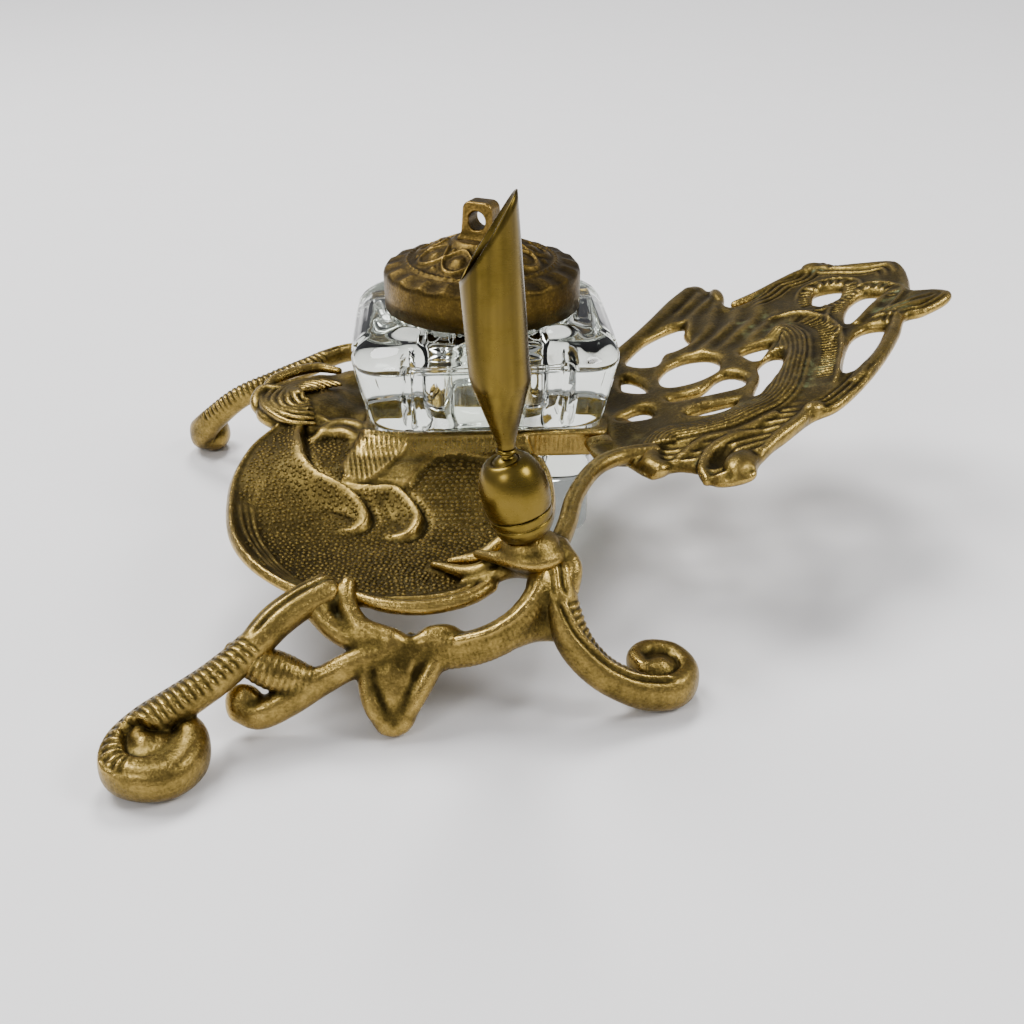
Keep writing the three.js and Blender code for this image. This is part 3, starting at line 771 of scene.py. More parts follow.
def stand_casting():
    casting = Casting(STAND_LOW, STAND_HIGH, STAND_CELL)
    x, y = casting.plan()
    top, beyond, stipple = tray_heights(x, y)
    under = top - 2.7 - 0.5 * np.maximum(0, top - 30) * bell(beyond, 5)
    casting.plate(top, under, beyond, edge=1.0)
    # the web behind the tray's left end, and the curls on it
    web = spline([
        (-34, -27), (-34, 16), (-45, 18), (-54, 14), (-61, 4), (-65, -7), (-62, -18), (-52, -23),
        (-44, -26),
    ], 6, True)
    beyond_web, _ = outside(web, x, y)
    ripple = 0.5 * np.sin(0.55 * x + 0.8 * np.sin(0.3 * y)) + 0.4 * np.sin(0.45 * y + 1.2)
    casting.plate(36.6 + ripple, 33.6 + 0 * x, beyond_web, edge=1.2)
    casting.lump((*CURL_CENTRE, 35.4), (11.5, 13.5, 4.6), blend=1.6)
    for curl in CURL_LOBES:
        casting.sweep([(a, b, c + 0.5, 0.8 * d, 0.8 * e) for a, b, c, d, e in curl], blend=0.8)
    for strand in curl_strands():
        casting.sweep(strand, blend=0.35)
    corner_web = spline([
        (29, -22), (29, -33), (23.6, -35), (24, -41), (26, -47.8), (33, -50.4), (41, -48), (41, -30),
        (36, -22),
    ], 6, True)
    beyond_web, _ = outside(corner_web, x, y)
    top = 37.4 + 0.5 * np.sin(0.5 * x + 0.35 * y) + 0.03 * (x - 30)
    casting.plate(top, 34.6 + 0 * x, beyond_web, edge=1.1)
    casting.sweep(CRESCENT, blend=0.7)
    for finger in FINGERS:
        casting.sweep(finger, blend=1.0)
    casting.sweep(NEAR_STRUT, 1.6, lambda arc, across, up: -0.3 * bell(across, 0.25) * (up > 0))
    # the frame round the inkwell
    dx, dy = np.abs(x - WELL_X), np.abs(y)
    outer = round_square(dx, dy, FRAME_HALF, 5.0)
    hole = round_square(dx, dy, FRAME_OPENING, 4)
    flutes = 0.14 * wave(x, FLUTE) * step(-y, 29, 32)
    ring = np.maximum(outer + flutes, -hole)
    casting.plate(FRAME_TOP + 0 * x, FRAME_LOW + 0 * x, ring, edge=0.5, blend=1.2)
    z = casting.axes[2][None, None, :]
    well = np.maximum(hole[..., None], WELL_FLOOR - z)
    casting.cut(EVERYWHERE, well.astype(np.float32))
    # the boss under the pen holder, its collar and the leaf that wraps it
    lean = Vector(joint_of("holder_turn")["axis"])
    ball = np.array(joint_of("holder_turn")["pos_m"]) / MM + SHIFT
    base = ball - BALL_UP * np.array(lean)
    casting.lump(base - 3.4 * np.array(lean), (6.6, 6.0, 3.9), blend=1.6)
    casting.lump(base - 7.0 * np.array(lean), (6.8, 6.2, 4.6), blend=2.5)
    casting.sweep([
        (-7, -88, 32.4, 1.2, 1), (-1, -94.4, 34.4, 1.7, 1.6), (5, -97.6, 35, 1.9, 1.8),
        (10.4, -95.8, 35, 1.8, 1.9), (12.6, -90, 34.6, 1.6, 1.8),
    ], blend=1.0)
    casting.sweep([
        (12, -91, 35.4, 2, 2), (14.4, -95.6, 32.6, 2.2, 2.4), (13.6, -98.6, 28.6, 2.2, 2.4),
    ], blend=1.2)
    # the boss is faced off flat just under the bell
    window = casting.window(base - BOSS_REACH, base + BOSS_REACH)
    gx, gy, gz = casting.grid(window)
    above = (gx - base[0]) * lean.x + (gy - base[1]) * lean.y + (gz - base[2]) * lean.z
    casting.cut(window, (-0.25 - above).astype(np.float32))
    return casting, stipple


def stand_casting_piece():
    casting, stipple = stand_casting()
    names = ["pen_tray", "leaf_curl", "near_strut", "pen_boss", "well_frame"]
    made, points = cast_piece("tray_and_frame", casting, finish_for("stand"), names)
    cells = ((points[:, :2] - STAND_LOW[:2]) / STAND_CELL).astype(int)
    column, row = np.clip(cells, 0, np.array(stipple.shape) - 1).T
    top, _, _ = tray_heights(points[:, 0], points[:, 1])
    share = (stipple[column, row] > STIPPLED_FROM) * (np.abs(points[:, 2] - top) < 0.6)
    keep_number(made, "stippled", share)
    # painted highlight on the frame's front and the shelf before it: lowering their hollowness makes
    # the brass there show brighter
    x, y, z = points.T
    painted_front_highlight = step(y, -41, -38) * fall(y, -32.6, -31) * (1 - share)
    painted_front_highlight = painted_front_highlight * step(x, -38, -36) * fall(x, 31, 33) * step(z, 30, 32)
    hollow = np.zeros(len(points), np.float32)
    made.data.attributes["hollow"].data.foreach_get("value", hollow)
    # the tray's hollowness, less the painted highlight on the frame's front
    keep_number(made, "hollow", hollow - 0.75 * painted_front_highlight)
    return made


# ---- repeated detail, by Geometry Nodes -----------------------------------------------------
class Graph:
    """A Geometry Nodes tree with named inputs."""

    def __init__(self, name, inputs):
        self.tree = bpy.data.node_groups.new(name, "GeometryNodeTree")
        face = self.tree.interface
        face.new_socket("Geometry", in_out="INPUT", socket_type="NodeSocketGeometry")
        self.keys = {}
        for label, (kind, value) in inputs.items():
            socket = face.new_socket(label, in_out="INPUT", socket_type=kind)
            if value is not None:
                socket.default_value = value
            self.keys[label] = socket.identifier
        face.new_socket("Geometry", in_out="OUTPUT", socket_type="NodeSocketGeometry")
        self.source = self.tree.nodes.new("NodeGroupInput")
        self.sink = self.tree.nodes.new("NodeGroupOutput")

    def make(self, kind, settings=None, values=None, out=0):
        node = self.tree.nodes.new(kind)
        for key, value in (settings or {}).items():
            setattr(node, key, value)
        for key, value in (values or {}).items():
            if isinstance(value, bpy.types.NodeSocket):
                self.tree.links.new(value, node.inputs[key])
            else:
                node.inputs[key].default_value = value
        return node.outputs[out]

    def end(self, geometry, material):
        joined = self.make("GeometryNodeRealizeInstances", values={0: geometry})
        painted = self.make("GeometryNodeSetMaterial", values={0: joined, "Material": material})
        self.tree.links.new(painted, self.sink.inputs[0])

    def run(self, host, name, values):
        """The tree's result on a host, as a mesh of its own."""
        modifier = host.modifiers.new(name, "NODES")
        modifier.node_group = self.tree
        for label, value in values.items():
            modifier[self.keys[label]] = value
        bpy.context.view_layer.update()
        evaluated = host.evaluated_get(bpy.context.evaluated_depsgraph_get())
        mesh = bpy.data.meshes.new_from_object(evaluated)
        host.modifiers.remove(modifier)
        mesh.name = name
        made = bpy.data.objects.new(name, mesh)
        bpy.context.scene.collection.objects.link(made)
        mesh.polygons.foreach_set("use_smooth", [True] * len(mesh.polygons))
        return made


def stipple_piece(tray, sizes):
    """Small domes all over the tray's floor."""
    graph = Graph("tray_stipple", {
        "Spacing": ("NodeSocketFloat", 0.0012),
        "Dome": ("NodeSocketFloat", 0.0006),
        "Seed": ("NodeSocketInt", 7),
        "Finish": ("NodeSocketMaterial", None),
    })
    source = graph.source.outputs
    share = graph.make("GeometryNodeInputNamedAttribute", {"data_type": "FLOAT"}, {"Name": "stippled"})
    spread = graph.tree.nodes.new("GeometryNodeDistributePointsOnFaces")
    spread.distribute_method = "POISSON"
    graph.tree.links.new(source[0], spread.inputs["Mesh"])
    graph.tree.links.new(source["Spacing"], spread.inputs["Distance Min"])
    graph.tree.links.new(share, spread.inputs["Density Factor"])
    graph.tree.links.new(source["Seed"], spread.inputs["Seed"])
    spread.inputs["Density Max"].default_value = 8.0e6
    dome = graph.make("GeometryNodeMeshIcoSphere", values={"Radius": source["Dome"], "Subdivisions": 2})
    flat = graph.make("GeometryNodeTransform", values={0: dome, "Scale": (1.0, 1.0, 0.55)})
    size = graph.make(
        "FunctionNodeRandomValue", {"data_type": "FLOAT"}, {2: 0.8, 3: 1.15, "Seed": source["Seed"]},
        out=1,
    )
    values = {
        0: spread.outputs["Points"], "Instance": flat, "Rotation": spread.outputs["Rotation"],
        "Scale": size
    }
    graph.end(graph.make("GeometryNodeInstanceOnPoints", values=values), source["Finish"])
    made = graph.run(tray, "tray_stipple", {
        "Spacing": sizes.stipple_spacing, "Dome": sizes.stipple_size, "Seed": 7,
        "Finish": finish_for("stipple"),
    })
    settle(made, "stand")
    return made


# ---- legs and apron -------------------------------------------------------------------------
RIB_DEPTH, LEG_CELL, APRON_CELL = 0.24, 0.38, 0.46


def ribbed(start, end, pitch, edge):
    """Relief of a leg: a channel from its root, then fine ribs on its top between two arcs."""

    def relief(arc, across, up):
        on_top = step(up, -0.45, 0.1)
        ribs = RIB_DEPTH * wave(arc + 0.8 * across, pitch) - 0.5 * RIB_DEPTH
        band = step(arc, start, start + 1.5) * fall(arc, end - 2, end)
        band = band * step(across, edge, edge + 0.14) * fall(across, 0.86, 1.02)
        lines = 0.7 * bell(across - 0.1, 0.14) + 0.35 * bell(across + 0.45, 0.14)
        channel = fall(arc, start - 2.5, start) * lines
        border = 0.4 * bell(across - edge + 0.14, 0.12) - 0.5 * bell(across - edge + 0.36, 0.12)
        border = border * step(arc, start, start + 2) * fall(arc, end - 2, end)
        return on_top * (band * ribs - channel + border)

    return relief


# Each leg's path; its foot's middle and size; where its ribs start and end, their pitch and their
# edge across the leg; and the block it is cast in.
LEGS = {
    "leg_front_left": {
        "path": [
            (-42, -94.8, 28.2, 4.4, 3.2), (-47.5, -98.2, 26.8, 4.4, 3.4),
            (-53, -102.4, 24.6, 4.3, 3.5), (-58.6, -107.6, 20.6, 3.6, 3.6),
            (-65.4, -112, 16.8, 3.8, 3.8), (-72.6, -115.2, 13.2, 4.1, 4.0),
            (-79.6, -118.4, 9.8, 4.4, 4.4), (-84.2, -122.8, 7.2, 4.3, 4.6),
            (-84.4, -128.2, 5.6, 4.2, 4.9), (-79.6, -131, 5.1, 4.2, 4.7),
            (-73.8, -130.4, 5.1, 4.2, 4.6), (-70.4, -125.6, 5.5, 4.1, 4.9),
            (-70.8, -119.6, 6.6, 3.7, 4.7), (-75, -116.2, 7.6, 3.0, 3.8),
            (-79.4, -117.8, 8.6, 2.2, 2.6), (-81.4, -121.6, 9.1, 1.8, 2.0),
            (-79.6, -124.4, 9.3, 1.7, 1.9),
        ],
        "foot": (-78.2, -124.2), "belly": (8.2, 7.6, 5.3), "ribs": (20, 66, 1.75, -0.8),
        "block": ((-93, -139, -1), (-35, -86, 35)),
    },
    "leg_front_right": {
        "path": [
            (10.6, -96, 31, 4.0, 4.0), (11.6, -101, 25, 4.1, 4.2), (14.4, -105, 18, 4.0, 4.2),
            (19.4, -107.2, 12.2, 3.9, 4.0), (25.6, -107.8, 8, 3.9, 4.1),
            (32, -107.4, 5.5, 3.8, 4.6), (38, -106, 5.0, 3.7, 4.6), (41, -101, 5.2, 3.4, 4.7),
            (38.6, -95.8, 5.9, 3.1, 4.6), (33, -94.6, 7, 2.7, 3.8), (29.6, -98, 8, 2.2, 2.8),
            (31, -102.4, 8.5, 1.8, 2.2), (35, -102, 8.7, 1.6, 1.9),
        ],
        "foot": (34.6, -100.8), "belly": (6.8, 6.6, 5.0), "ribs": (6, 44, 1.7, -0.05),
        "block": ((2, -116, -1), (49, -88, 38)),
    },
    "leg_back_left": {
        "path": [
            (-26, 33, 33.5, 3.6, 3.0), (-36, 42.4, 33.6, 3.3, 2.9), (-46, 42.6, 33, 3.1, 2.9),
            (-56.5, 36, 31.2, 3.1, 3.0), (-67, 32.4, 28, 3.2, 3.3), (-78.5, 33.4, 22.4, 3.3, 3.6),
            (-88, 36.6, 14, 3.4, 4.0), (-93.6, 40.6, 7.4, 3.3, 4.6), (-94, 45.4, 5.2, 3.1, 4.6),
            (-91, 48.8, 4.9, 2.9, 4.4), (-87.8, 46.4, 5.4, 2.5, 4.0), (-88.4, 42.8, 6.6, 2.1, 3.0),
        ],
        "foot": (-90.4, 43.6), "belly": (5.4, 5.6, 4.9), "ribs": (30, 76, 1.8, -0.8),
        "block": ((-100, 24, -1), (-20, 55, 39)),
    },
    "leg_back_right": {
        "path": [
            (26, 33, 33.5, 3.6, 3.0), (33.5, 41.6, 34, 3.4, 3.1), (38.4, 49, 28.6, 3.3, 3.6),
            (38, 56, 18.6, 3.4, 4.0), (34.6, 61.4, 9, 3.3, 4.4), (29, 64.3, 5.4, 3.0, 4.4),
            (23.6, 62.2, 5, 3.0, 4.3), (22.6, 57.4, 5.6, 2.8, 4.2), (26.4, 54.6, 6.8, 2.4, 3.6),
            (30.4, 57, 7.8, 2.0, 2.6), (29, 60.4, 8.2, 1.6, 2.0),
        ],
        "foot": (28.2, 60), "belly": (6, 6, 4.9), "ribs": (12, 46, 1.8, -0.8),
        "block": ((16, 24, -1), (46, 72, 40)),
    },
}


def leg_piece(name):
    leg = LEGS[name]
    casting = Casting(*leg["block"], LEG_CELL)
    casting.sweep(leg["path"], blend=0.6, relief=ribbed(*leg["ribs"]), power=2.3)
    casting.lump((*leg["foot"], leg["belly"][2]), leg["belly"], blend=1.4)
    casting.flat_bottom(0.0)
    cast_piece(name + "_cast", casting, finish_for("stand"), [name])


def combed(pitch, depth):
    """Fine lines filed across a bar."""
    return lambda arc, across, up: depth * wave(arc, pitch)


def apron_piece():
    casting = Casting((-68, -121, -1), (20, -84, 40), APRON_CELL)
    sweep = casting.sweep
    # the strut from the leg's root and the hollow lobe over it
    casting.lump((-42.5, -95.4, 26.8), (6.2, 4.2, 3.4), turn=0.5, blend=1.5)
    sweep([
        (-37, -94, 28.4, 2.2, 2.8), (-37, -98.4, 25.2, 2.5, 3.2), (-34, -102.6, 21.6, 2.9, 3.8),
        (-28, -105.4, 19.6, 3.2, 4.4),
    ])
    sweep([(-44, -99, 25, 2.6, 2.8), (-40, -102, 22, 2.6, 2.8), (-34, -104.4, 19.6, 2.8, 3.2)])
    # the shell, its flutes, the bulb in its middle and its nose
    casting.lump((-24.4, -106, 16), (8.6, 3.4, 6.0), blend=2.2)
    casting.lump((-27.2, -109.6, 9.0), (5.8, 3.2, 8.4), blend=1.6)
    casting.lump((-15.6, -103.8, 20.4), (4.4, 2.4, 2.9), blend=1.4)
    for start_x, start_z in ((-30.6, 19), (-28, 19.9), (-25.4, 20.4), (-22.8, 20.5), (-20.2, 20.2)):
        end_x = -27 + 0.4 * (start_x + 24.4)
        sweep([
            (start_x, -103.6, start_z, 1.0, 1.1), (0.5 * (start_x + end_x), -108.4, 17, 1.1, 1.3),
            (end_x, -111, 11, 0.8, 1.0),
        ], blend=0.5)
    sweep([
        (-33, -106.2, 18.6, 2.0, 2.2), (-32.8, -110, 12, 2.1, 2.4), (-31.2, -112.4, 7.4, 2.4, 2.4),
        (-28.8, -112.8, 3.4, 2.5, 2.4),
    ], blend=0.9)
    sweep([
        (-15.6, -105.6, 19, 2.0, 2.4), (-19, -109.2, 13.4, 2.0, 2.4), (-22.6, -111.6, 8.2, 2.2, 2.4),
        (-25.6, -112.4, 3.6, 2.5, 2.4),
    ], blend=0.9)
    casting.lump((-27, -111.6, 8.4), (3.2, 2.2, 4.6), blend=0.8)
    casting.lump((-27.2, -111.8, 4.4), (4.6, 2.8, 4.2), blend=1.0)
    sweep([
        (-28.8, -112.9, 2.9, 2.1, 2.2), (-27.2, -113.2, 2.5, 2.1, 2.2), (-25.8, -112.9, 2.9, 2.1, 2.2),
    ], blend=0.9)
    casting.lump((-29, -113.2, 4.0), (2.5, 2.0, 2.2), blend=0.5)
    casting.lump((-25, -113, 4.0), (2.4, 2.0, 2.2), blend=0.5)
    # the bar that sweeps up to the pen holder
    bar = [
        (-19, -105.2, 18.0, 2.8, 4.6), (-12.4, -106.6, 18.2, 2.6, 4.3),
        (-5.4, -106.6, 20.0, 2.6, 4.3), (1, -104.4, 22.6, 2.7, 4.5), (5.4, -100.6, 26, 2.9, 4.5),
        (7.6, -96.4, 30, 3.0, 3.8), (7.4, -93, 33, 2.8, 2.6),
    ]
    sweep(bar, blend=1.6, relief=combed(1.1, 0.07), power=2.6)
    sweep([(x, y - 1.5, z + h - 0.5, 0.7, 0.7) for x, y, z, _, h in bar[1:6]], blend=1.0)
    # the web between the bar and the leg on the right
    sweep([
        (7, -97, 29.4, 2.8, 3.4), (9.6, -100.4, 25, 3.0, 3.8), (11.6, -102.2, 21, 2.8, 3.4),
    ], blend=1.8)
    sweep([(2, -103.6, 20, 2.2, 2.4), (8, -101.6, 20.4, 2.6, 3.6), (13, -101.6, 19, 2.4, 3)], blend=1.6)
    # the scroll, whose end is closed like a fist, and the ribbed lobe that meets the leg
    sweep([
        (-29, -106.4, 17.8, 2.8, 3.6), (-36, -107.8, 16.2, 2.6, 3.3), (-43, -109, 12.8, 2.6, 3.4),
        (-50.4, -110.6, 9, 2.9, 3.7), (-57, -111.4, 6.4, 3.1, 3.7), (-61.4, -110.4, 7.2, 2.9, 3.2),
    ], blend=0.8, power=2.3)
    casting.lump((-60.4, -109.6, 8.6), (4.2, 3.2, 4.2), blend=1.0)
    sweep([
        (-63, -109.4, 6, 1.2, 1.2), (-63.2, -109.4, 9.6, 1.2, 1.2), (-60.6, -109.8, 12, 1.2, 1.2),
        (-58, -110.6, 10.2, 1.1, 1.1),
    ], blend=0.5)
    sweep([
        (-61.4, -106.6, 19.4, 3.0, 3.0), (-57.6, -107.8, 17.8, 4.0, 4.0),
        (-53.6, -108.4, 16, 4.6, 4.6), (-49.6, -108.6, 14.4, 4.2, 4.2), (-45, -109, 13.2, 2.6, 3.0),
    ], blend=0.9, relief=combed(1.4, 0.16))
    casting.lump((-42.6, -94.4, 30.4), (4.6, 2.7, 2.2), turn=0.5, blend=0.8, hollow=True)
    cast_piece("apron_cast", casting, finish_for("stand"), ["front_apron"])


# ---- the wing -------------------------------------------------------------------------------
WING_CELL = 0.44
WING_OUTLINE = [
    (30, -44), (33, -52), (36, -58.6), (38.5, -61.4), (44, -60), (48.6, -63.6), (49.6, -68),
    (51.6, -72), (56, -73.8), (61.2, -73), (63, -68.4), (67.7, -62.4), (72.4, -58.8), (80.8, -51.8),
    (88, -49.4), (96.2, -41.8), (105.2, -30.6), (113.5, -17.6), (118.4, -7.6), (123.6, -7.4),
    (131, -4.4), (133.8, -0.2), (131.4, 4.6), (125.6, 8.8), (127.6, 18), (129.4, 27), (128, 34.2),
    (121, 38), (113.4, 45), (112, 49.6), (108, 51), (102.6, 48.2), (99.4, 44.6), (93.2, 43.2),
    (87, 38.2), (80, 35), (77.4, 38.4), (78.2, 46), (78, 52.6), (75.4, 55), (74.2, 59.6),
    (71.6, 62.6), (68.2, 61.8), (61, 50.4), (50.2, 35.4), (43, 25.6), (36, 17), (30, 9), (30, -24),
]
WING_HOLES = [
    [(104, -1), (105.6, 6.2), (109.6, 13.4), (114.8, 16.8), (118, 11.6), (113, 5.4), (108.8, 1.6)],
    [(101, 24.4), (104, 28.9), (109.6, 26.8), (108, 21.2), (105.5, 18.3), (100.2, 17.5)],
    [
        (94.2, -32), (97.2, -21.9), (102.2, -11.8), (107, -8), (111.3, -9.7), (110, -13.3),
        (104.8, -22.2), (98.7, -29.4),
    ],
    [(42.2, 13.6), (48.6, 24.6), (55.1, 29.8), (61.6, 32), (62.2, 28.7), (61, 23.6), (61.4, 16.5),
     (57, 13),
     (52.9, 12.1), (51, 7.9), (48.6, 5), (44.4, 6.8)],
    [(49.1, -7), (50.2, -2), (53.7, 3.1), (58.7, 5.1), (63.7, 3.3), (66.2, -1.2), (66.1, -5.3),
     (64.3, -9.1),
     (59.9, -12.2), (54.7, -12.7), (50.4, -11.7)],
    [(49, -20.4), (52.1, -19.2), (57.6, -19.8), (60.9, -17.6), (64, -13.9), (67.2, -12.7),
     (69.8, -15.9),
     (70.3, -20.2), (68.1, -23.4), (62.9, -23.4), (57.2, -23.2), (51.4, -23)],
    [(52.2, -32.6), (55.6, -31), (59.8, -30.7), (65.1, -31), (64.6, -33), (61.1, -35.4), (56.2, -35)],
    [(34.4, -26), (37.6, -23.2), (41.4, -22.2), (43.3, -25.2), (42.9, -28.4), (39, -29), (35.2, -28.2)],
    [(38.4, -7), (39.2, 0.8), (41.5, -0.6), (43.9, -6.2), (44.2, -12.4), (41, -10.6)],
    [(73.4, -1.2), (76.8, 0.7), (81.8, 0.2), (79.8, -4), (76, -9.4), (74, -5.4)],
    [
        (75.8, -13.3), (80, -8.3), (82.5, -9.1), (82, -13.8), (77.3, -22.6), (71, -31.2), (71.4, -28),
        (74.6, -20.3),
    ],
]
LEAF_LINE = [
    (78, 3), (84, 7), (89.3, 7), (91.6, -2.3), (89.6, -13.5), (86.3, -23.2), (80.9, -36),
    (75.1, -42.6), (69.1, -46), (61.5, -49), (53.6, -49.6), (46.8, -49),
]


def wing_height(x):
    """The wing rises to the right."""
    return 36.4 + 26.4 * np.maximum(0, (x - 32) / 101) ** 1.15


def wing_piece():
    casting = Casting((29, -77.5, 31), (135.5, 67, 68), WING_CELL)
    x, y = casting.plan()
    beyond, _ = outside(spline(WING_OUTLINE, 5, closed=True), x, y)
    rim_depth = np.maximum(-beyond, 0)
    hole_gap, hole_run, which = np.full(x.shape, 1e3), np.zeros(x.shape), np.zeros(x.shape)
    for index, hole in enumerate(WING_HOLES):
        gap, arc = outside(spline(hole, 6, closed=True), x, y)
        nearer = gap < hole_gap
        hole_gap = np.where(nearer, gap, hole_gap)
        hole_run = np.where(nearer, arc, hole_run)
        which = np.where(nearer, index, which)
    body = np.maximum(beyond, -hole_gap)
    depth = np.maximum(-body, 0)
    swell = np.sqrt(np.clip(1 - (1 - np.minimum(depth, 2.4) / 2.4) ** 2, 0, 1))
    base = wing_height(x)
    side, arc = beside(spline(LEAF_LINE, 8), x, y)
    on_leaf = step(-side, 0.4, 1.4) * fall(-side, 9, 11.5) * step(hole_gap, 0.5, 1.6) * step(arc, 2, 8)
    relief = on_leaf * (1.6 * bell(-side - 4, 5) + 0.2 * wave(side, FLUTE))
    relief += 0.7 * bell(side, 0.8) * step(arc, 4, 10)
    band = step(side, 2.9, 3.5) * fall(side, 7.2, 7.9) * step(arc, 10, 13) * fall(arc, 50, 54)
    relief += band * (0.3 * wave(arc, 1.5) - 0.15)
    relief += 0.8 * bell(side - 8.7, 0.8) * step(arc, 8, 12) * fall(arc, 52, 58)
    # long grooves round the near edge, ribs on the loops at the far end, folds by the frame
    edge_zone = step(x, 76, 86) * fall(rim_depth, 5.5, 6.5) * fall(y, -6, 4)
    relief += edge_zone * 0.36 * wave(rim_depth - 0.8, 1.9)
    loops = step(1.5 - which, 0, 0.5) * step(hole_gap, 0.9, 1.5) * fall(hole_gap, 4.2, 4.8)
    loops = loops * step(y, 4, 9)
    ribs = loops * 0.26 * wave(hole_run, 1.6)
    relief += ribs + 0.6 * bell(hole_gap - 5.3, 0.7) * step(x, 94, 98)
    far_zone = step(x, 82, 90) * step(y, 22, 30) * fall(rim_depth, 8, 9.5) * step(hole_gap, 5.4, 6)
    relief += far_zone * 0.4 * wave(rim_depth - 1.2, 2.5)
    middle = step(x, 58, 64) * fall(x, 84, 92) * step(y, 2, 8) * step(rim_depth, 3, 5)
    relief += middle * 0.35 * np.sin(0.85 * x - 0.5 * y + 1.2 * np.sin(0.22 * y))
    near_zone = fall(x, 72, 82) * fall(y, -40, -36) * step(side, 0.8, 2.2)
    flow = y + 0.16 * x + 1.6 * np.sin(0.16 * x)
    relief += near_zone * 0.42 * wave(flow, 3.4)
    relief += 0.3 * np.sin(0.31 * x + 0.5) * np.sin(0.27 * y)
    top = base + 0.1 + 1.9 * swell + relief * step(depth, 0.3, 1.4)
    casting.plate(top, base - 1.6 * swell, body - 0.3, edge=0.9)
    sweep, h = casting.sweep, wing_height

    def on_wing(stops, blend=0.9, relief=None):
        raised = [(px, py, h(px) + lift, wide, high) for px, py, lift, wide, high in stops]
        sweep(raised, blend=blend, relief=relief)

    # the lobes on the near edge, with the hollow behind the larger one
    on_wing([
        (43, -46.6, 1.2, 1.1, 1.0), (40, -51, 1.6, 2.0, 1.6), (38.8, -56, 1.4, 2.8, 2.1),
        (40.2, -59.4, 0.9, 2.3, 2.1),
    ])
    casting.lump((54.2, -62.4, h(54) + 3.6), (7.0, 3.2, 3.2), turn=1.05, blend=0.8, hollow=True)
    casting.lump((58.8, -67.2, h(59) + 1.0), (6.2, 4.1, 3.3), turn=1.05, blend=0.5)
    on_wing([
        (50, -69.6, 0.4, 1.2, 1.5), (49.9, -64.6, 1.3, 1.4, 1.6), (53.4, -57.4, 1.9, 1.4, 1.5),
        (59.6, -53.4, 1.9, 1.4, 1.3), (66, -53, 1.4, 1.0, 1.0),
    ])
    on_wing([
        (44.4, -58.4, 0.8, 1.2, 1.4), (47.2, -56, 1.4, 1.6, 1.5), (53, -51.6, 1.8, 1.6, 1.4),
        (62, -51, 1.8, 1.5, 1.3), (72, -46.6, 1.8, 1.3, 1.2),
    ])
    on_wing([
        (64, -64.4, 0.6, 1.2, 1.5), (70, -58.4, 1.3, 1.6, 1.7), (77, -52.6, 1.5, 1.8, 1.7),
        (80.4, -47.8, 1.8, 1.2, 1.2),
    ])
    casting.lump((81.6, -48.6, h(81) + 1.6), (3.4, 2.4, 2.2), turn=0.5, blend=0.6)
    # the far strut and its paddle, the pad beside it, and the lobes beyond
    on_wing([
        (30, 8, 0.6, 2.0, 1.8), (38, 17.4, 0.8, 2.1, 1.9), (46.6, 28, 0.9, 2.2, 1.9),
        (55, 38.6, 1, 2.7, 2.1), (63, 49.6, 1, 3.2, 2.2), (69.6, 57.8, 0.8, 3.1, 2.3),
    ])
    casting.lump((76.2, 47.4, h(76) + 1.2), (2.1, 6.0, 2.2), turn=0.0, blend=0.7)
    on_wing([
        (80, 37.4, 0.8, 1.6, 1.5), (88, 40, 1, 1.8, 1.6), (96, 44, 1.1, 1.8, 1.7),
        (104, 46.6, 1.2, 2.0, 1.8), (111, 45, 1, 1.8, 1.7),
    ])
    casting.lump((107.6, 48.2, h(107) + 1.2), (4.2, 2.6, 2.2), turn=-0.1, blend=0.7)
    on_wing([
        (112, 42, 0.9, 1.6, 1.6), (120, 36.6, 1, 2.0, 1.9), (126.6, 31.6, 0.4, 2.3, 2.1),
        (127, 22, -0.2, 1.8, 1.8), (124.6, 12, 0, 1.6, 1.7),
    ])
    # the beak at the tip, and the two folds that run back from it
    beak = [
        (112, -3, 1.2, 1.4, 1.4), (118, -1.6, 1.4, 2.0, 1.7), (124.6, -0.4, 0.9, 2.7, 1.9),
        (130, 0.2, 0, 2.9, 1.6), (132.4, 0.2, -0.4, 1.4, 1.0),
    ]
    on_wing(beak, 1.0, lambda along, across, up: -0.7 * bell(across, 0.28) * (up > 0.2))
    on_wing([
        (95, -38.6, 0.9, 1.4, 1.6), (105, -26.6, 1, 1.6, 1.7), (113, -13.6, 1, 1.6, 1.7),
        (118, -2, 0.9, 1.4, 1.5),
    ])
    on_wing([
        (106, -3.4, 1.2, 1.3, 1.2), (112, 3.4, 1.3, 1.5, 1.3), (117.6, 9.4, 0.9, 1.4, 1.3),
        (122.6, 12.6, 0.4, 1.2, 1.2),
    ])
    cast_piece("wing_cast", casting, finish_for("wing"), ["leaf_wing"])


# ---- inkwell and lid ------------------------------------------------------------------------
GLASS_UNDER, GLASS_BORE_FLOOR = 3.7, 15.8
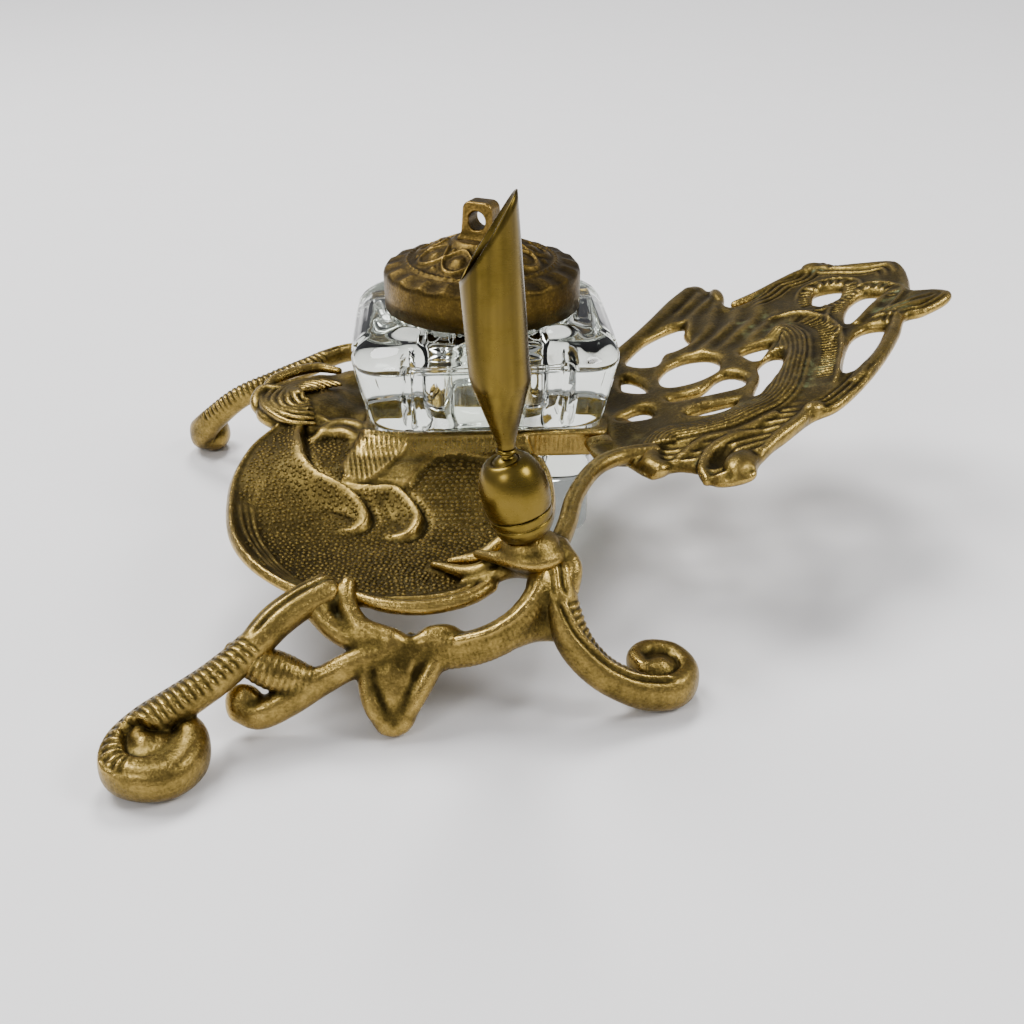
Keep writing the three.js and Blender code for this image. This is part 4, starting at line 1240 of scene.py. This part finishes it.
# height, half width, and how square: 2 is round
GLASS_SECTIONS = [
    (4.0, 27.4, 6.0), (4.3, 28.6, 6.5), (5.4, 29.3, 7.0), (12, 29.4, 7.0), (25, 29.4, 7.0),
    (37.6, 29.4, 7.0), (38.3, 29.9, 7.0), (38.5, 32.2, 6.6), (39.4, 33.2, 6.2), (44, 34.2, 6.0),
    (51, 35.8, 5.8), (55.5, 36.7, 5.6), (57.4, 36.7, 5.2), (58.6, 36.2, 5.0), (60.4, 35.0, 4.6),
    (62.0, 33.0, 4.2), (63.0, 30.6, 3.6), (63.5, 28.0, 3.0), (63.65, 25.6, 2.3), (64.2, 24.5, 2.0),
    (66, 24.3, 2.0), (71.3, 24.3, 2.0), (71.9, 23.6, 2.0), (72, 22.4, 2.0), (72, 19.4, 2.0),
    (71.7, 18.4, 2.0), (70.8, 18.0, 2.0), (40, 18.0, 2.0), (21, 18.0, 2.0), (18.2, 16.9, 2.0),
    (16.6, 14.4, 2.0), (16.0, 10.0, 2.0), (15.8, 4.0, 2.0),
]


def glass_piece():
    """The square well: a recessed panel in each side and a fat pillar at each corner."""
    sections = spline(GLASS_SECTIONS, 3)
    sides = 288
    angle = 2 * math.pi * np.arange(sides) / sides
    from_face = (angle + math.pi / 4) % (math.pi / 2) - math.pi / 4
    rings = []
    for z, half, power in sections:
        power = max(2.0, power)
        radius = half / (np.abs(np.cos(angle)) ** power + np.abs(np.sin(angle)) ** power) ** (1 / power)
        across = radius * np.sin(from_face)
        outer = 38.8 < z < 63.2 and half > 28
        if outer:
            far = np.abs(across)
            foot = 40.4 + 7.0 * (far / 20.5) ** 6
            panel = fall(far, 18.6, 20.6) * step(z + 0 * far, foot - 0.6, foot + 0.8)
            panel = panel * fall(z + 0 * far, 56.2, 57.0)
            arch = fall(far, 15.5, 20.5) * step(z + 0 * far, 58.2, 59.2)
            grooves = bell(far - 21.2, 0.9)
            fade = step(z, 39, 42) * fall(z, 60, 63)
            radius = radius - 1.3 * panel - 0.9 * arch * fall(z, 61.5, 63) - 1.5 * grooves * fade
            radius = radius - 0.7 * bell(z - 57.6, 0.7) * fall(far, 20, 22)
        ring = [WELL_X + radius * np.cos(angle), radius * np.sin(angle), z + 0 * angle]
        rings.append(np.stack(ring, 1))
    points = np.vstack([*rings, [[WELL_X, 0, GLASS_UNDER], [WELL_X, 0, GLASS_BORE_FLOOR]]])
    faces = band_faces(len(rings), sides, False) + cap_faces(len(rings), sides)
    piece("glass_inkwell", points, faces, "inkwell", finish_for("glass"), ["glass_well"])


LID_PROFILE = [
    (0, 72.3), (25.2, 72.3), (25.2, 64.0), (27.4, 64.0), (27.5, 72.8), (27.2, 73.9), (26.6, 74.5),
    (25, 75.1), (23, 75.7), (21.6, 76.0), (20.8, 76.6), (20, 76.5), (18, 77.5), (15, 78.9),
    (12, 80.2), (9, 81.4), (7.2, 82.0), (5.5, 82.5), (2, 82.6), (0, 82.6),
]


LID_PLAIN_BELOW = 72.5
LID_CRIMPS = 22


def lid_relief(radius, height, angles):
    """Crimps round the rim, and rings of leaf loops over the dome."""
    if height < LID_PLAIN_BELOW:
        return 0 * angles
    crimp = np.abs(((angles * LID_CRIMPS / (2 * math.pi)) % 1.0) - 0.5) * 2
    lift = (0.6 * (crimp**1.4 - 0.5)) * step(radius, 21.8, 23.4) * (1 - 0.6 * step(radius, 26.4, 27.4))
    petals = np.cos(4.5 * angles)
    swing, middle = 4.3 * petals, 14.2
    loops = bell(radius - middle - swing, 0.85) + bell(radius - middle + swing, 0.85)
    band = step(radius, 8.6, 9.8) * fall(radius, 19.2, 20.2)
    seeds = bell((np.abs(petals) - 1) * 9, 1.5) * bell(radius - middle, 1.9)
    buds = bell(petals * 5, 1.2) * (bell(radius - 18, 0.8) + bell(radius - 10.2, 0.7))
    lift = lift + band * (0.85 * np.minimum(loops, 1.15) + 0.75 * seeds + 0.6 * buds - 0.35)
    lift = lift + 0.35 * bell(radius - 20.9, 0.5) * (0.6 + 0.4 * np.cos(60 * angles))
    return lift + 0.5 * bell(radius - 7.6, 0.7)


def middle_of(name):
    """The middle of a part's plan, on the table."""
    low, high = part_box(name)
    return (low.x + high.x) / 2, (low.y + high.y) / 2, 0


def lid_piece():
    centre = Vector(middle_of("lid_cap"))
    place = Matrix.Translation(centre) @ Matrix.Scale(MM, 4)
    profile = [LID_PROFILE[0]]
    for (r0, z0), (r1, z1) in zip(LID_PROFILE, LID_PROFILE[1:]):
        parts = max(1, int(math.hypot(r1 - r0, z1 - z0) / (0.4 if z0 > LID_PLAIN_BELOW else 3)))
        profile += [
            (r0 + (r1 - r0) * k / parts, z0 + (z1 - z0) * k / parts) for k in range(1, parts + 1)
        ]
    lid = turned(
        "lid_cast", profile, 330, place, "lid", finish_for("lid"), ["lid_cap"], lid_relief
    )
    places = np.array([v.co for v in lid.data.vertices]) / MM
    offset = places[:, :2] - np.array(centre)[:2] / MM
    radius, angle = np.hypot(offset[:, 0], offset[:, 1]), np.arctan2(offset[:, 1], offset[:, 0])
    depth = np.array([float(lid_relief(r, 80.0, np.array([a]))[0]) for r, a in zip(radius, angle)])
    keep_number(lid, "hollow", np.clip(np.where(places[:, 2] > 73, 0.35 - 1.0 * depth, 0.1), -1, 1))


KNOB_CELL, KNOB_FOOT, KNOB_HIGH, KNOB_TURN, KNOB_CORNER = 0.22, 82.2, 10.4, -0.5, 2.0


def knob_piece():
    """A block with round top corners and a round eye through it."""
    centre = np.array(middle_of("lid_knob")) / MM + SHIFT
    casting = Casting(centre + [-7, -7, 81.4], centre + [7, 7, 93.6], KNOB_CELL)
    x, y, z = casting.grid(EVERYWHERE)
    c, s = math.cos(KNOB_TURN), math.sin(KNOB_TURN)
    across = (x - centre[0]) * c + (y - centre[1]) * s
    deep = (y - centre[1]) * c - (x - centre[0]) * s
    rise = z - KNOB_FOOT
    half = 4.95 - 0.06 * rise
    thick = 3.55 - 0.05 * rise
    edge = np.maximum(np.abs(across) - half, rise - KNOB_HIGH)
    past, above = np.abs(across) - half + KNOB_CORNER, rise - KNOB_HIGH + KNOB_CORNER
    both = np.hypot(np.maximum(past, 0), np.maximum(above, 0)) - KNOB_CORNER
    front = np.maximum(edge, both)
    block = -soft_min(-front, thick - np.abs(deep), 0.9)
    foot = 0.9 * bell(rise - 0.2, 1.1)
    block = np.maximum(block - foot, 81.6 - z)
    hole = np.hypot(across, rise - 5.3) - 2.55
    casting.join(EVERYWHERE, block.astype(np.float32), 0.3)
    casting.cut(EVERYWHERE, hole.astype(np.float32), 0.7)
    cast_piece("knob_cast", casting, finish_for("lid"), ["lid_knob"], 2, "lid")


# ---- pen holder -----------------------------------------------------------------------------
def holder_place():
    """The bell's own frame: the base's middle at 0, its axis along Z."""
    joint = joint_of("holder_turn")
    axis = Vector(joint["axis"])
    turn = axis.to_track_quat("Z", "Y").to_matrix().to_4x4()
    return Matrix.Translation(Vector(joint["pos_m"]) - BALL_UP * MM * axis) @ turn @ Matrix.Scale(MM, 4)


def funnel_place():
    joint = joint_of("funnel_spin")
    lean = math.atan2(joint["axis"][0], joint["axis"][2])
    place = Matrix.Translation(Vector(joint["pos_m"]))
    return place @ Matrix.Rotation(lean, 4, "Y") @ Matrix.Scale(MM, 4)


BALL_UP = 16.0  # from the bell's underside to the ball's middle
BALL_RADIUS = 4.2
BASE_PROFILE = [
    (2.2, 0.05), (5.2, 0.05), (5.9, 0.5), (6.5, 1.4), (6.9, 2.6), (7.05, 3.55), (6.85, 3.7),
    (6.85, 3.95), (7.15, 4.1), (7.35, 5.2), (7.4, 6.0), (7.25, 6.2), (6.2, 6.2), (6.2, 9.4),
    (5.4, 9.4), (5.4, 3), (2.2, 3),
]
CAP_PROFILE = [
    (6.5, 6.5), (7.25, 6.5), (7.5, 6.7), (7.8, 8.6), (7.9, 10.4), (7.84, 12.2), (7.58, 13.9),
    (7.1, 15.5), (6.5, 16.9), (5.7, 18.1), (4.8, 18.9), (4.2, 19.2), (3.6, 19.15), (3.1, 19.0),
    (4.0, 17.9), (4.4, 16.4), (6.5, 12.6),
]


def holder_pieces():
    place = holder_place()
    spun = finish_for("spun")
    turned(
        "bell_base", rounded(BASE_PROFILE, 0.12, 2), 96, place, "stand", spun,
        ["socket_base"],
    )
    cap = np.array(CAP_PROFILE)
    outer = spline(cap[1:12], 3)
    turned(
        "bell_cap", np.vstack([cap[:1], outer, cap[12:]]), 96, place, "stand", spun,
        ["socket_cap"],
    )
    at_ball = funnel_place()
    turns = np.radians(np.linspace(-90, 70, 26))
    arc = [(BALL_RADIUS * math.cos(a), BALL_RADIUS * math.sin(a)) for a in turns]
    stem = [(0, -BALL_RADIUS)] + arc[1:] + [(1.5, 4.1), (1.36, 4.5), (1.3, 8.0), (0, 8.0)]
    turned("ball_and_stem", stem, 48, at_ball, "ball", spun, ["swivel_ball"])
    ring = rounded([(1.6, 4.8), (2.1, 4.8), (2.45, 5.3), (2.1, 5.8), (1.6, 5.8)], 0.2, 3)
    turned("funnel_ring", ring, 48, at_ball, "funnel", spun, ["funnel_ferrule"])
    funnel_tube(at_ball, finish_for("tube"))


def funnel_tube(place, finish):
    """The rolled funnel: a cone, a long flare, and a mouth cut off at a slant."""
    sides, wall, neck, shoulder, low, high = 96, 0.5, 5.9, 22.2, 44.2, 62.0
    flare_from, flare_radius = 22.6, 6.5
    angle = 2 * math.pi * np.arange(sides) / sides
    slant = 0.5 * (low + high) + 0.5 * (high - low) * np.cos(angle + 0.1)
    outside_low = [(1.6, neck), (1.95, neck), (2.12, neck + 0.3), (2.05, neck + 0.9)]
    outside_low += [(r, z) for z, r in zip(np.linspace(7.6, 21.2, 12), np.linspace(2.2, 6.3, 12))]
    outside_low += [(flare_radius, 21.9), (6.6, flare_from)]
    # the sheet laps over itself on one side, which makes a low step down the outside
    lap = 0.24 * step(np.cos(angle + 2.5), 0.8, 0.84)

    def flare(z, thick=0.0):
        return flare_radius + lap * (thick == 0) + 0.1 * (z - flare_from) / 39.0 - thick

    rings = [(np.full(sides, r), np.full(sides, z)) for r, z in outside_low]
    for share in np.linspace(0.06, 1, 16):
        z = flare_from + (slant - flare_from) * share
        rings.append((flare(z), z))
    rings.append((flare(slant, 0.25), slant + 0.12))
    for share in np.linspace(1, 0, 12):
        z = shoulder + (slant - shoulder) * share
        rings.append((flare(z, wall), z))
    inside_low = [(5.9, 21.6), (2.05, 8.1), (1.6, 8.1)]
    rings += [(np.full(sides, r), np.full(sides, z)) for r, z in inside_low]
    points = np.vstack([np.stack([r * np.cos(angle), r * np.sin(angle), z], 1) for r, z in rings])
    faces = band_faces(len(rings), sides, True)
    placed = [place @ Vector(p) for p in points]
    piece(
        "funnel_tube", placed, faces, "funnel", finish, ["pen_funnel"],
        in_millimetres=False,
    )


# ---- stage ----------------------------------------------------------------------------------
CAMERA_AT = (-14.4, -340.1, 178.0)
CAMERA_AZIMUTH, CAMERA_PITCH, FOCAL, SENSOR = -3.5, 28.1, 43.95, 36.0
FLOOR_HALF = 6.0
LOOK_AT = Vector((0, 0, 0.04))


def stage_and_camera(settings):
    floor = bpy.data.meshes.new("floor")
    corners = [(a * FLOOR_HALF, b * FLOOR_HALF, 0) for a, b in ((-1, -1), (1, -1), (1, 1), (-1, 1))]
    floor.from_pydata(corners, [], [(0, 1, 2, 3)])
    recipe = Recipe("pale_floor")
    mottle = recipe.noise(30.0, 3.0)
    tone = recipe.blend(mottle, rgba([0.97 * c for c in settings.floor]), rgba(settings.floor))
    floor.materials.append(recipe.finish({"Base Color": tone, "Roughness": 0.7}))
    made = bpy.data.objects.new("floor", floor)
    bpy.context.scene.collection.objects.link(made)
    azimuth, pitch = math.radians(CAMERA_AZIMUTH), math.radians(CAMERA_PITCH)
    level = math.cos(pitch)
    ahead = Vector((-math.sin(azimuth) * level, math.cos(azimuth) * level, -math.sin(pitch)))
    data = bpy.data.cameras.new("camera")
    data.lens, data.sensor_width = FOCAL, SENSOR
    data.clip_start, data.clip_end = 0.01, 50.0
    camera = bpy.data.objects.new("camera", data)
    camera.location = Vector(in_frame(CAMERA_AT))
    camera.rotation_euler = ahead.to_track_quat("-Z", "Y").to_euler()
    bpy.context.scene.collection.objects.link(camera)
    bpy.context.scene.camera = camera
    lights = [
        ("key", (-0.7, 0.45, 1.3), 0.8, settings.key),
        ("fill", (0.9, -0.3, 0.9), 0.5, settings.fill),
        ("front", (-0.7, -0.9, 0.9), 0.45, settings.front),
        ("far", (0.2, 2.6, 3.4), 1.4, settings.far),
    ]
    for name, at, size, power in lights:
        lamp = bpy.data.lights.new(name, "AREA")
        lamp.energy, lamp.size, lamp.shape = power, size, "DISK"
        light = bpy.data.objects.new(name, lamp)
        light.location = at
        light.visible_glossy = name != "far"
        light.rotation_euler = (LOOK_AT - Vector(at)).to_track_quat("-Z", "Y").to_euler()
        bpy.context.scene.collection.objects.link(light)
    world = bpy.data.worlds.new("studio")
    world.use_nodes = True
    back = world.node_tree.nodes["Background"]
    back.inputs["Color"].default_value = (0.95, 0.96, 1.0, 1)
    back.inputs["Strength"].default_value = settings.sky
    bpy.context.scene.world = world


# ---- settings, operators and panel ----------------------------------------------------------
def colour_property(name, description, default):
    return bpy.props.FloatVectorProperty(
        name=name, description=description, subtype="COLOR", size=3, min=0, max=1, default=default
    )


def power_property(name, description, default):
    return bpy.props.FloatProperty(name=name, description=description, default=default, min=0)


class InkstandFinish(bpy.types.PropertyGroup):
    dark: colour_property("Tarnish", "Brass in the hollows", (0.03, 0.021, 0.006))
    middle: colour_property("Aged brass", "Brass over most of the casting", (0.13, 0.091, 0.0225))
    # this colour also shows the painted highlight on the tray's frame front, besides the worn edges
    bright: colour_property("Rubbed brass", "Brass on the worn edges", (0.46, 0.315, 0.088))
    spun: colour_property("Spun brass", "The pen holder's darker brass", (0.135, 0.092, 0.0155))
    spun_light: colour_property(
        "Spun brass, light", "The pen holder's lighter brass", (0.215, 0.148, 0.031)
    )
    tint: colour_property("Glass", "Tint of the inkwell's glass", (0.91, 0.955, 0.885))
    floor: colour_property("Floor", "Colour of the floor", (0.88, 0.865, 0.865))
    key: power_property("Key light", "Power of the light behind", 22.0)
    fill: power_property("Fill light", "Power of the light on the right", 8.0)
    front: power_property("Front light", "Power of the light in front", 5.0)
    far: power_property("Far light", "Power of the light on the far floor", 150.0)
    sky: power_property("Studio", "Strength of the light all round", 0.36)


class InkstandSizes(bpy.types.PropertyGroup):
    stipple_spacing: bpy.props.FloatProperty(
        name="Stipple spacing", description="Least distance between the domes on the tray's floor",
        default=0.00122, min=0.0005, unit="LENGTH",
    )
    stipple_size: bpy.props.FloatProperty(
        name="Stipple size", description="Radius of one dome", default=0.00056, min=0.0001,
        unit="LENGTH"
    )


def operator(suffix, label, doc, work):
    """An operator class that runs one maker."""

    def execute(self, context):
        work(context)
        return {"FINISHED"}

    values = {
        "bl_idname": "inkstand." + suffix,
        "bl_label": label,
        "bl_options": {"REGISTER", "UNDO"},
        "__doc__": doc,
        "execute": execute,
    }
    return type("INKSTAND_OT_" + suffix, (bpy.types.Operator,), values)


def make_tray(context):
    tray = stand_casting_piece()
    stipple_piece(tray, context.scene.inkstand_sizes)


def make_legs(context):
    for name in LEGS:
        leg_piece(name)


def make_lid(context):
    lid_piece()
    knob_piece()


def finish_hidden(context):
    for name in ("ball_seat", "seat_spring", "mount_screw", "screw_washer"):
        materials = frame["nodes"][name].data.materials
        materials.clear()
        materials.append(finish_for("steel"))


OPERATORS = [
    operator(
        "stage", "Stage", "Make the floor, the lights and the camera",
        lambda c: stage_and_camera(c.scene.inkstand_finish),
    ),
    operator("tray", "Tray and frame", "Cast the tray, the well frame and the stipple", make_tray),
    operator("legs", "Legs", "Cast the four scroll legs", make_legs),
    operator(
        "apron", "Apron", "Cast the shell, the scroll and the bar in front", lambda c: apron_piece()
    ),
    operator("wing", "Wing", "Cast the pierced leaf wing", lambda c: wing_piece()),
    operator("glass", "Inkwell", "Press the square glass inkwell", lambda c: glass_piece()),
    operator("lid", "Lid", "Cast the lid and its knob", make_lid),
    operator(
        "holder", "Pen holder", "Turn the bell, the ball and the funnel", lambda c: holder_pieces()
    ),
    operator("hidden", "Hidden steel", "Finish the screw, washer, spring and seat", finish_hidden),
]


class INKSTAND_PT_panel(bpy.types.Panel):
    """Everything the inkstand is made of"""

    bl_label = "Inkstand"
    bl_idname = "INKSTAND_PT_panel"
    bl_space_type = "VIEW_3D"
    bl_region_type = "UI"
    bl_category = "Inkstand"

    def draw(self, context):
        for group in (context.scene.inkstand_sizes, context.scene.inkstand_finish):
            for name in group.__annotations__:
                self.layout.prop(group, name)
        for made in OPERATORS:
            self.layout.operator(made.bl_idname)


CLASSES = [InkstandFinish, InkstandSizes, *OPERATORS, INKSTAND_PT_panel]


def register():
    for made in CLASSES:
        bpy.utils.register_class(made)
    bpy.types.Scene.inkstand_finish = bpy.props.PointerProperty(type=InkstandFinish)
    bpy.types.Scene.inkstand_sizes = bpy.props.PointerProperty(type=InkstandSizes)


def unregister():
    del bpy.types.Scene.inkstand_sizes
    del bpy.types.Scene.inkstand_finish
    for made in reversed(CLASSES):
        bpy.utils.unregister_class(made)


def main():
    register()
    for made in OPERATORS:
        group, name = made.bl_idname.split(".")
        getattr(getattr(bpy.ops, group), name)()


if __name__ == "__main__":
    main()
